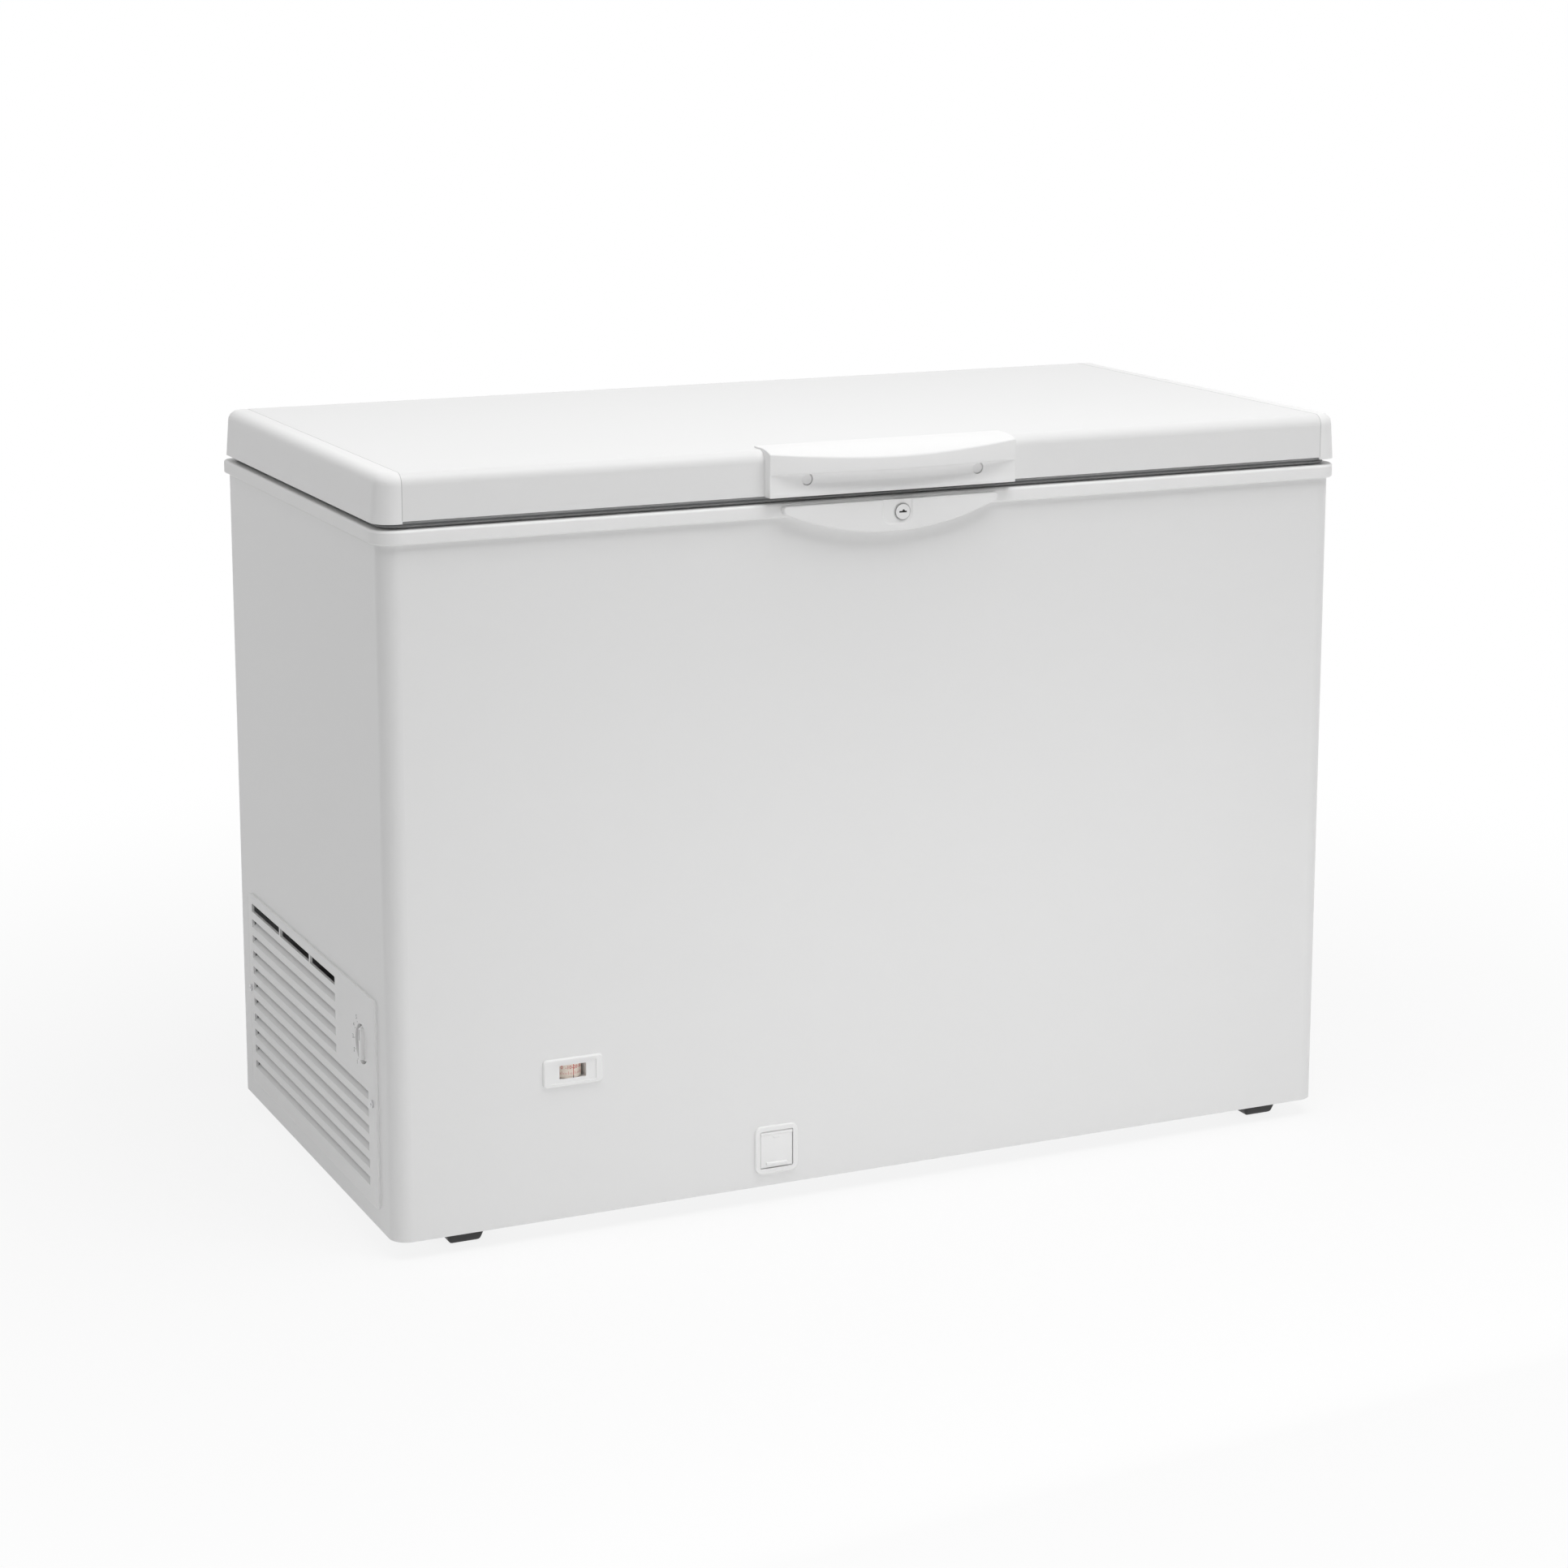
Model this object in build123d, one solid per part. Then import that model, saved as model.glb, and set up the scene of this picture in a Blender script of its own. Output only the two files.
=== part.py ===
from build123d import *

import os
from math import sqrt

# Chest freezer with a hinged lid, built as separate pieces in one frame, in millimetres.
# +X is the right side seen from the front, +Y the back and +Z up. The origin is on the floor,
# under the middle of the whole freezer.

# Cabinet
CABINET_W = 1120.0
CABINET_D = 556.0
CABINET_H = 730.0
SHEET_T = 1.0
PANEL_T = 1.0
BASE_T = 1.5
FRONT_CORNER_R = 20.0
REAR_CORNER_R = 8.0
REAR_RETURN = 26.0
CORNER_RELIEF = 2.0

# Collar round the mouth
COLLAR_OUT = 6.0
COLLAR_H = 15.0
COLLAR_T = 3.0
COLLAR_EDGE_R = 3.0
COLLAR_LIP_H = 14.0
COLLAR_LIP_T = 2.0
COLLAR_FIT = 0.2

# Tub and insulation
WALL_FOAM = 60.0
FLOOR_FOAM = 70.0
LINER_T = 1.0
TUB_CORNER_R = 40.0
LINER_FLANGE = 20.0

# Compressor bay under the step at the left end
BAY_W = 235.0
BAY_H = 270.0
BAY_T = 1.0
BAY_FOAM = 50.0
BAY_MARGIN = 36.0

# Lid
LID_GAP = 9.0
LID_H = 48.0
LID_OVER = 5.0
LID_DRAFT = 4.0
LID_EDGE_R = 12.0
LID_CORNER_R = 22.0
LID_REAR_R = 16.0
LID_SHEET_T = 0.8
LID_LINER_T = 1.2
CAP_W = 27.0
CAP_T = 2.5
CAP_DROP = 2.5
PLUG_DEPTH = 17.0
PLUG_CLEAR = 14.0
GASKET_W = 14.0
GASKET_INSET = 8.0
GASKET_GROOVE = 2.5
GASKET_GROOVE_H = 2.5
LID_FIT = 0.3

# Handle on the lid's front
HANDLE_W = 288.0
HANDLE_OUT = 18.5
HANDLE_BOW = 14.5
HANDLE_BACK = 22.0
HANDLE_SKIN = 1.8
HANDLE_TOP_R = 70.0
HANDLE_DROP = 0.8
VISOR_H = 23.0
SCOOP_DEPTH = 4.0
SCOOP_H = 10.0
APRON_LIP = 3.5
HANDLE_FIT = 0.2
HANDLE_SCREW_X = 100.0
HANDLE_SCREW_Z = 16.5
HANDLE_CAP_R = 6.0
HANDLE_CAP_T = 2.5
HANDLE_CAP_SUNK = 0.6

# Lock plate under the handle
LOCK_PLATE_W = 250.0
LOCK_PLATE_H = 34.0
LOCK_PLATE_T = 14.0
LOCK_PLATE_DOWN = 2.5
LOCK_PLATE_TIP_H = 7.0
LOCK_PLATE_TIP_R = 3.0
LOCK_PLATE_EDGE = 1.2
LOCK_X = 12.0
LOCK_DOWN = 16.0
LOCK_R = 8.2
LOCK_SHAFT_R = 4.0
LOCK_PROUD = 0.6
LOCK_FIT = 0.1
CAM_L = 28.0
CAM_W = 10.0
CAM_T = 3.4
CAM_HUB_R = 7.5
CAM_BACK = 2.8
CAM_CLEAR = 1.2
LOCK_SLEEVE_L = 18.0
LOCK_SLEEVE_T = 3.0
LOCK_PAD_W = 36.0
LOCK_PAD_H = 27.0
LOCK_PAD_DEEP = 0.8
KEYHOLE_W = 9.0
KEYHOLE_H = 1.8
KEYHOLE_DEEP = 2.0

# Lid hinges
HINGE_FROM_SIDE = 180.0
HINGE_PIN_BACK = 14.0
HINGE_PIN_UP = 7.0
HINGE_PIN_R = 4.0
HINGE_PIN_FIT = 0.05
HINGE_EAR_T = 2.0
HINGE_EAR_R = 7.5
HINGE_W = 48.0
HINGE_H = 126.0
HINGE_ARM_GAP = 2.0
HINGE_HUB_R = 8.0
HINGE_ARM_T = 3.0
HINGE_ARM_UP = 34.0
HINGE_RIB_T = 6.0
HINGE_PLUNGER_R = 6.0
HINGE_PLUNGER_H = 26.0
HINGE_SPRING_R = 5.2
HINGE_WIRE_R = 1.2
HINGE_SPRING_PITCH = 6.5
HINGE_SCREW_X = 12.0

# Grille on the left side
GRILLE_FRONT = 46.0
GRILLE_L = 467.0
GRILLE_LOW = 22.0
GRILLE_H = 226.0
GRILLE_T = 3.0
GRILLE_CORNER_R = 6.0
GRILLE_ROW_PITCH = 18.7
GRILLE_ROW_H = 9.5
GRILLE_ROW_MARGIN = 15.0
GRILLE_ROW_FRONT = 25.0
GRILLE_ROW_REAR = 14.0
GRILLE_SHORT_FRONT = 135.0
GRILLE_RIB_PITCH = 114.0
GRILLE_RIB_T = 4.0
GRILLE_FIN_DEEP = 8.0
GRILLE_FIN_T = 1.6
GRILLE_FIN_GAP = 3.2
GRILLE_FRAME = 5.0
GRILLE_SCREW_FRONT = 10.0
GRILLE_SCREW_REAR = 5.0
GRILLE_EDGE_R = 1.2

# Thermostat
KNOB_BACK = 90.0
KNOB_UP = 190.0
KNOB_R = 19.0
KNOB_T = 5.0
KNOB_GRIP_W = 7.0
KNOB_GRIP_OUT = 4.5
KNOB_GAP = 1.5
DISH_DEEP = 8.5
DISH_T = 1.5
DISH_CLEAR = 2.5
KNOB_SHAFT_R = 3.0
KNOB_FIT = 0.05
THERMOSTAT_L = 58.0
THERMOSTAT_H = 44.0
THERMOSTAT_DEEP = 36.0

# Compressor and its pipes
COMPRESSOR_R = 78.0
COMPRESSOR_H = 170.0
COMPRESSOR_DOME_R = 45.0
COMPRESSOR_STAND = 24.0
FOOTPLATE_W = 210.0
FOOTPLATE_D = 130.0
FOOTPLATE_T = 3.0
GROMMET_R = 12.0
GROMMET_PITCH_X = 170.0
GROMMET_PITCH_Y = 100.0
BOLT_R = 4.0
BOLT_HEAD_R = 8.0
BOLT_HEAD_H = 4.0
RELAY_W = 60.0
RELAY_H = 70.0
RELAY_T = 34.0
RELAY_CORNER_R = 4.0
PIPE_R = 4.0
PIPE_BEND_R = 18.0
PIPE_RUN = 23.0
PIPE_GAP = 0.3
COIL_PITCH = 60.0
COIL_TOP_GAP = 25.0
COIL_BEND_R = 15.0
COIL_BAND = 10.0
COIL_LIFT = 60.0
DRIER_R = 10.0
DRIER_L = 110.0

# Thermometer in the front
THERMOMETER_X = 164.0
THERMOMETER_UP = 160.5
THERMOMETER_W = 66.0
THERMOMETER_H = 30.0
THERMOMETER_T = 3.0
THERMOMETER_R = 4.0
THERMOMETER_STEP = 7.0
THERMOMETER_STEP_DEEP = 1.2
WINDOW_W = 30.0
WINDOW_H = 15.0
DRUM_R = 15.5
DRUM_H = 17.0
DRUM_GAP = 0.6
DRUM_PIN_R = 1.5
DRUM_FIT = 0.05
DRUM_CASE_T = 1.5

# Drain in the front
DRAIN_X = 430.5
DRAIN_UP = 41.0
DRAIN_W = 50.0
DRAIN_H = 53.0
DRAIN_T = 3.0
DRAIN_R = 8.0
DRAIN_RIM = 5.5
DRAIN_WALL = 2.0
DRAIN_DEEP = 15.0
FLAP_T = 3.0
FLAP_GAP = 0.8
FLAP_BARREL_R = 2.2
FLAP_PIN_R = 1.0
FLAP_PIN_FIT = 0.05
FLAP_LEDGE_W = 18.0
FLAP_LEDGE_H = 3.0
FLAP_LEDGE_OUT = 1.6
DRAIN_PIPE_R = 11.0
DRAIN_PIPE_T = 2.0
DRAIN_PIPE_BACK = 130.0
DRAIN_PIPE_BEND_R = 18.0
PLUG_FLANGE_R = 16.0
PLUG_FLANGE_T = 4.0
PLUG_STEM_L = 12.0
PLUG_KNOB_R = 6.0
PLUG_KNOB_H = 14.0
PLUG_FIT = 0.3

# Feet and small fasteners
FOOT_H = 20.0
FOOT_TOP = 47.0
FOOT_BOTTOM = 31.0
FOOT_R = 8.0
FOOT_INSET = 20.0
FOOT_FROM_LEFT = 85.0
FOOT_FROM_RIGHT = 60.0
FOOT_SCREW_R = 3.0
FOOT_SCREW_HEAD_R = 6.0
FOOT_SCREW_HEAD_H = 4.0
FOOT_SCREW_UP = 6.0
FOOT_SCREW_SIDE = 9.0
SCREW_R = 2.0
SCREW_HEAD_R = 4.0
SCREW_HEAD_H = 2.2
SCREW_L = 14.0
SCREW_FIT = 0.2
GLAND_R = 9.0
GLAND_FLANGE_R = 14.0
GLAND_FLANGE_T = 3.0
GLAND_OUT = 9.0
GLAND_BORE_R = 4.25
GLAND_UP = 60.0
GLAND_FROM_LEFT = 120.0

# Room left past a cut so that it always goes right through
OVERCUT = 1.0

# Places that follow from the sizes
LID_FRONT_OUT = HANDLE_OUT + HANDLE_BOW
HINGE_OUT = HINGE_PIN_BACK + HINGE_EAR_R + HINGE_EAR_T
FRONT = (LID_FRONT_OUT - CABINET_D - HINGE_OUT) / 2
BACK = FRONT + CABINET_D
LEFT = -CABINET_W / 2
RIGHT = CABINET_W / 2
BASE_Z = FOOT_H
FLOOR_TOP = BASE_Z + BASE_T
COLLAR_Z0 = BASE_Z + CABINET_H
COLLAR_Z1 = COLLAR_Z0 + COLLAR_H
RIM_Z = COLLAR_Z1 - COLLAR_T
REAR_FACE = BACK - SHEET_T
REAR_INSIDE = REAR_FACE - PANEL_T

TUB_X0 = LEFT + SHEET_T + WALL_FOAM + LINER_T
TUB_X1 = -TUB_X0
TUB_Y0 = FRONT + SHEET_T + WALL_FOAM + LINER_T
TUB_Y1 = REAR_INSIDE - WALL_FOAM - LINER_T
TUB_FLOOR = FLOOR_TOP + FLOOR_FOAM + LINER_T

BAY_X0 = LEFT + SHEET_T
BAY_X1 = BAY_X0 + BAY_W
BAY_Y0 = FRONT + SHEET_T + BAY_MARGIN
BAY_Y1 = REAR_INSIDE - BAY_MARGIN
BAY_Z1 = FLOOR_TOP + BAY_H
STEP_X = BAY_X1 + BAY_T + BAY_FOAM + LINER_T
STEP_Z = BAY_Z1 + BAY_T + BAY_FOAM + LINER_T

LID_Z0 = COLLAR_Z1 + LID_GAP
LID_Z1 = LID_Z0 + LID_H
LID_Y0 = FRONT - LID_OVER
LID_Y1 = BACK
LID_HALF = CABINET_W / 2 + LID_OVER
PANEL_HALF = LID_HALF - CAP_W
PLUG_Z = LID_Z0 - PLUG_DEPTH

HANDLE_Z0 = LID_Z0 - HANDLE_DROP
HANDLE_TOP = LID_Z1 + HANDLE_SKIN
VISOR_Z = LID_Z0 + VISOR_H
SCREW_Z = LID_Z0 + HANDLE_SCREW_Z
SCOOP_Y = FRONT - HANDLE_OUT + SCOOP_DEPTH
SCOOP_Z = VISOR_Z - VISOR_H + SCOOP_H

LOCK_TOP = COLLAR_Z1 - LOCK_PLATE_DOWN
LOCK_Z = COLLAR_Z1 - LOCK_DOWN
LOCK_FACE = FRONT - LOCK_PLATE_T
HINGE_X = RIGHT - HINGE_FROM_SIDE
CAM_Y0 = LOCK_FACE + CAM_BACK
CAM_Y1 = CAM_Y0 + CAM_T

PIN_Y = BACK + HINGE_PIN_BACK
PIN_Z = COLLAR_Z1 + HINGE_PIN_UP
HINGE_Z1 = COLLAR_Z0 - LID_GAP
HINGE_Z0 = PIN_Z - HINGE_H

GRILLE_Y0 = FRONT + GRILLE_FRONT
GRILLE_Y1 = GRILLE_Y0 + GRILLE_L
GRILLE_Z0 = BASE_Z + GRILLE_LOW
GRILLE_Z1 = GRILLE_Z0 + GRILLE_H
GRILLE_FACE = LEFT - GRILLE_T
ROW_Y0 = GRILLE_Y0 + GRILLE_ROW_FRONT
ROW_Y1 = GRILLE_Y1 - GRILLE_ROW_REAR
ROW_TOP = GRILLE_Z1 - GRILLE_ROW_MARGIN
ROW_COUNT = int((GRILLE_H - 2 * GRILLE_ROW_MARGIN) / GRILLE_ROW_PITCH) + 1
KNOB_Y = FRONT + KNOB_BACK
KNOB_Z = BASE_Z + KNOB_UP
DISH_R = KNOB_R + DISH_CLEAR
DISH_FLOOR = GRILLE_FACE + DISH_DEEP

THERMOMETER_CX = LEFT + THERMOMETER_X + THERMOMETER_W / 2
THERMOMETER_CZ = BASE_Z + THERMOMETER_UP
DRUM_Y = FRONT + SHEET_T + DRUM_GAP + DRUM_R
DRAIN_CX = LEFT + DRAIN_X
DRAIN_CZ = BASE_Z + DRAIN_UP
DRAIN_IN_W = DRAIN_W - 2 * DRAIN_RIM
DRAIN_IN_H = DRAIN_H - 2 * DRAIN_RIM
FLAP_AXIS_Y = FRONT - DRAIN_T + FLAP_BARREL_R
FLAP_AXIS_Z = DRAIN_CZ + DRAIN_IN_H / 2 - FLAP_GAP - FLAP_BARREL_R
DRAIN_PIPE_Y = FRONT + DRAIN_PIPE_BACK

COMPRESSOR_X = (BAY_X0 + BAY_X1) / 2
COMPRESSOR_Y = (BAY_Y0 + BAY_Y1) / 2
FOOTPLATE_Z = FLOOR_TOP + COMPRESSOR_STAND
COIL_FIRST = BAY_Z1 + BAY_T + BAY_FOAM + COIL_LIFT
COIL_LOOPS = int((COLLAR_Z0 - COIL_TOP_GAP - PIPE_R - COIL_FIRST) / COIL_PITCH - 0.25)
GLAND_X = LEFT + GLAND_FROM_LEFT
GLAND_Z = BASE_Z + GLAND_UP


def block(x0, x1, y0, y1, z0, z1):
    """Box from its lowest corner to its highest."""
    return Pos((x0 + x1) / 2, (y0 + y1) / 2, (z0 + z1) / 2) * Box(x1 - x0, y1 - y0, z1 - z0)


def rod(start, end, radius):
    """Round bar between two points."""
    run = Vector(*end) - Vector(*start)
    return Solid.make_cylinder(radius, run.length, Plane(Vector(*start), z_dir=run))


def plan_block(x0, x1, y0, y1, front_r, rear_r, z0, z1):
    """Upright block with rounded front and rear corners seen from above."""
    plan = Pos((x0 + x1) / 2, (y0 + y1) / 2) * Rectangle(x1 - x0, y1 - y0)
    plan = fillet(plan.vertices().group_by(Axis.Y)[0], front_r)
    plan = fillet(plan.vertices().group_by(Axis.Y)[-1], rear_r)
    return Pos(0, 0, z0) * extrude(plan, z1 - z0)


def cabinet_block(grow, z0, z1, relief=0.0):
    """The cabinet's outline grown or shrunk by one distance all round."""
    front_r = max(FRONT_CORNER_R + grow + relief, CORNER_RELIEF)
    rear_r = max(REAR_CORNER_R + grow + relief, CORNER_RELIEF)
    return plan_block(LEFT - grow, RIGHT + grow, FRONT - grow, BACK + grow, front_r, rear_r, z0, z1)


def tub_block(grow, z0, z1, relief=0.0):
    """The tub's full-length outline grown by one distance all round."""
    corner = TUB_CORNER_R + grow + relief
    return plan_block(TUB_X0 - grow, TUB_X1 + grow, TUB_Y0 - grow, TUB_Y1 + grow, corner, corner, z0, z1)


def tub_space(grow, top, relief=0.0):
    """The stepped space inside the tub grown by one distance all round."""
    corner = TUB_CORNER_R + grow + relief
    deep = plan_block(STEP_X - grow, TUB_X1 + grow, TUB_Y0 - grow, TUB_Y1 + grow,
                      corner, corner, TUB_FLOOR - grow, top)
    return deep + tub_block(grow, STEP_Z - grow, top, relief)


def front_plate(cx, cz, width, height, corner_r, y0, y1):
    """Upright plate facing the front, with rounded corners."""
    plate = Plane((cx, y1, cz), x_dir=(1, 0, 0), z_dir=(0, -1, 0)) * RectangleRounded(width, height, corner_r)
    return extrude(plate, y1 - y0)


def side_plate(y0, y1, z0, z1, corner_r, x0, x1):
    """Upright plate facing the left side, with rounded corners."""
    plane = Plane((x1, (y0 + y1) / 2, (z0 + z1) / 2), x_dir=(0, -1, 0), z_dir=(-1, 0, 0))
    return extrude(plane * RectangleRounded(y1 - y0, z1 - z0, corner_r), x1 - x0)


def pipe(points, radius, bend_r):
    """Round bar bent along straight runs joined by arcs."""
    path = FilletPolyline(*points, radius=bend_r)
    return sweep(Plane(path @ 0, z_dir=path % 0) * Circle(radius), path)


def screw(seat, direction, length=SCREW_L, radius=SCREW_R, head_r=SCREW_HEAD_R, head_h=SCREW_HEAD_H):
    """Pan-head screw whose head sits on the seat point and whose shank runs along direction."""
    seat = Vector(*seat)
    way = Vector(*direction)
    cross = Plane(seat - way * head_h, z_dir=way)
    slot = cross * Box(head_r, radius / 2, head_h) + cross * Box(radius / 2, head_r, head_h)
    return rod(seat - way * head_h, seat, head_r) + rod(seat, seat + way * length, radius) - slot


def screw_hole(seat, direction, length=SCREW_L, radius=SCREW_R):
    """Clearance hole for a screw's shank."""
    seat = Vector(*seat)
    way = Vector(*direction)
    return rod(seat - way * OVERCUT, seat + way * (length + OVERCUT), radius + SCREW_FIT)


def sides():
    """Names and signs of the left and right copies of a piece."""
    return (("left", -1), ("right", 1))


def hinge_screw_seats():
    """Seats of the screws that hold both hinge bases to the back."""
    heights = (HINGE_Z0 + HINGE_SCREW_X, HINGE_Z1 - HINGE_SCREW_X)
    return [(sign * HINGE_X + step, REAR_FACE + HINGE_EAR_T, height)
            for name, sign in sides() for step in (-HINGE_SCREW_X, HINGE_SCREW_X) for height in heights]


def arm_screw_seats():
    """Seats of the screws that hold both hinge arms to the lid."""
    height = LID_Z0 + HINGE_ARM_UP - HINGE_SCREW_X
    return [(sign * HINGE_X + step, LID_Y1 + HINGE_ARM_T, height)
            for name, sign in sides() for step in (-HINGE_SCREW_X, HINGE_SCREW_X)]


def handle_screw_seats():
    """Seats of the two screws that hold the handle, behind their caps."""
    seat_y = SCOOP_Y + HANDLE_CAP_SUNK + HANDLE_CAP_T + SCREW_HEAD_H + HANDLE_FIT
    return [(sign * HANDLE_SCREW_X, seat_y, SCREW_Z) for name, sign in sides()]


def grille_screw_seats():
    """Seats of the two screws that hold the grille."""
    height = GRILLE_Z0 + GRILLE_H / 2
    return [(GRILLE_FACE, GRILLE_Y0 + GRILLE_SCREW_FRONT, height),
            (GRILLE_FACE, GRILLE_Y1 - GRILLE_SCREW_REAR, height)]


def foot_centres():
    """Middles of the four feet, with their names."""
    reach = FOOT_INSET + FOOT_TOP / 2
    columns = (("left", LEFT + FOOT_FROM_LEFT), ("right", RIGHT - FOOT_FROM_RIGHT))
    rows = (("front", FRONT + reach), ("rear", BACK - reach))
    return [("foot_" + row + "_" + column, x, y) for row, y in rows for column, x in columns]


def grommet_centres():
    """Middles of the compressor's four rubber mounts."""
    return [(COMPRESSOR_X + i * GROMMET_PITCH_X / 2, COMPRESSOR_Y + j * GROMMET_PITCH_Y / 2)
            for i in (-1, 1) for j in (-1, 1)]


def riser(wall_x, share):
    """Foot of a coil's riser above the compressor bay, at a share of the bay's depth."""
    return (wall_x, BAY_Y0 + share * (BAY_Y1 - BAY_Y0), BAY_Z1)


def coil(x0, x1, y0, y1, start, corner_r):
    """Tube that rises out of the bay and winds round a rectangle in a rising spiral."""
    corners = ((x0, y0), (x1, y0), (x1, y1), (x0, y1))
    points = [start, (start[0], start[1], COIL_FIRST)]
    for turn in range(4 * COIL_LOOPS):
        x, y = corners[turn % 4]
        points.append((x, y, COIL_FIRST + (turn + 1) * COIL_PITCH / 4))
    points.append((x0, start[1], COIL_FIRST + (4 * COIL_LOOPS + 0.5) * COIL_PITCH / 4))
    return pipe(points, PIPE_R, [PIPE_BEND_R] + [corner_r] * (4 * COIL_LOOPS))


EVAPORATOR_OFF = LINER_T + PIPE_GAP + PIPE_R
CONDENSER_OFF = SHEET_T + PIPE_GAP + PIPE_R
EVAPORATOR_START = riser(TUB_X0 - EVAPORATOR_OFF, 0.6)
CONDENSER_START = riser(LEFT + CONDENSER_OFF, 0.4)
COIL_Z0 = COIL_FIRST - PIPE_BEND_R - PIPE_R
COIL_Z1 = COIL_FIRST + (COIL_LOOPS + 0.25) * COIL_PITCH + PIPE_R
DRAIN_PIPE_POINTS = ((DRAIN_CX, DRAIN_PIPE_Y, TUB_FLOOR - LINER_T), (DRAIN_CX, DRAIN_PIPE_Y, DRAIN_CZ),
                     (DRAIN_CX, FRONT + DRAIN_DEEP, DRAIN_CZ))
HOUSING_W = 2 * (DRUM_R + DRUM_GAP + DRUM_CASE_T)
HOUSING_H = DRUM_H + 2 * (DRUM_GAP + DRUM_CASE_T)
HOUSING_BACK = DRUM_Y + DRUM_R + DRUM_GAP + DRUM_CASE_T


def make_cabinet_wrap():
    """Painted steel sheet bent round the front and both sides, returned at the back."""
    wrap = cabinet_block(0, BASE_Z, RIM_Z) - cabinet_block(-SHEET_T, BASE_Z - OVERCUT, RIM_Z + OVERCUT)
    wrap -= block(LEFT + REAR_RETURN, RIGHT - REAR_RETURN, REAR_FACE - OVERCUT, BACK + OVERCUT,
                  BASE_Z - OVERCUT, RIM_Z + OVERCUT)
    low = ROW_TOP - (ROW_COUNT - 1) * GRILLE_ROW_PITCH
    wrap -= block(LEFT - OVERCUT, LEFT + SHEET_T + OVERCUT, ROW_Y0 - GRILLE_FRAME, ROW_Y1 + GRILLE_FRAME,
                  low - GRILLE_ROW_H, ROW_TOP + GRILLE_ROW_H)
    wrap -= block(THERMOMETER_CX - HOUSING_W / 2, THERMOMETER_CX + HOUSING_W / 2, FRONT - OVERCUT,
                  FRONT + SHEET_T + OVERCUT, THERMOMETER_CZ - HOUSING_H / 2, THERMOMETER_CZ + HOUSING_H / 2)
    wrap -= front_plate(DRAIN_CX, DRAIN_CZ, DRAIN_IN_W + 2 * DRAIN_WALL, DRAIN_IN_H + 2 * DRAIN_WALL,
                        DRAIN_R / 2, FRONT - OVERCUT, FRONT + SHEET_T + OVERCUT)
    wrap -= rod((LOCK_X, FRONT - OVERCUT, LOCK_Z), (LOCK_X, FRONT + SHEET_T + OVERCUT, LOCK_Z),
                LOCK_SHAFT_R + 2 * LOCK_FIT)
    for seat in grille_screw_seats():
        wrap -= screw_hole(seat, (1, 0, 0))
    return wrap


def make_rear_panel():
    """Flat sheet that closes the back, behind the side returns."""
    half = CABINET_W / 2 - REAR_CORNER_R - SHEET_T
    panel = block(-half, half, REAR_INSIDE, REAR_FACE, BASE_Z, RIM_Z)
    panel -= rod((GLAND_X, REAR_INSIDE - OVERCUT, GLAND_Z), (GLAND_X, BACK, GLAND_Z), GLAND_R + SCREW_FIT)
    for seat in hinge_screw_seats():
        panel -= screw_hole(seat, (0, -1, 0))
    return panel


def make_base_plate():
    """Zinc-plated sheet under the whole cabinet."""
    plate = plan_block(LEFT + SHEET_T, RIGHT - SHEET_T, FRONT + SHEET_T, REAR_INSIDE,
                       FRONT_CORNER_R - SHEET_T + CORNER_RELIEF, REAR_CORNER_R - SHEET_T + CORNER_RELIEF,
                       BASE_Z, FLOOR_TOP)
    for name, x, y in foot_centres():
        centre = x + FOOT_SCREW_SIDE
        plate -= rod((centre, y, BASE_Z - OVERCUT), (centre, y, FLOOR_TOP + OVERCUT), FOOT_SCREW_R + SCREW_FIT)
    for x, y in grommet_centres():
        plate -= rod((x, y, BASE_Z - OVERCUT), (x, y, FLOOR_TOP + OVERCUT), BOLT_R + SCREW_FIT)
    return plate


def make_inner_liner():
    """Smooth tub with a raised floor over the compressor bay and a flange round its mouth."""
    liner = tub_space(LINER_T, RIM_Z) - tub_space(0, RIM_Z + OVERCUT)
    liner += tub_block(LINER_FLANGE, RIM_Z - LINER_T, RIM_Z) - tub_block(0, RIM_Z - LINER_T, RIM_Z)
    liner -= rod((DRAIN_CX, DRAIN_PIPE_Y, TUB_FLOOR - LINER_T - OVERCUT),
                 (DRAIN_CX, DRAIN_PIPE_Y, TUB_FLOOR + OVERCUT), DRAIN_PIPE_R - DRAIN_PIPE_T)
    return liner


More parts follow.
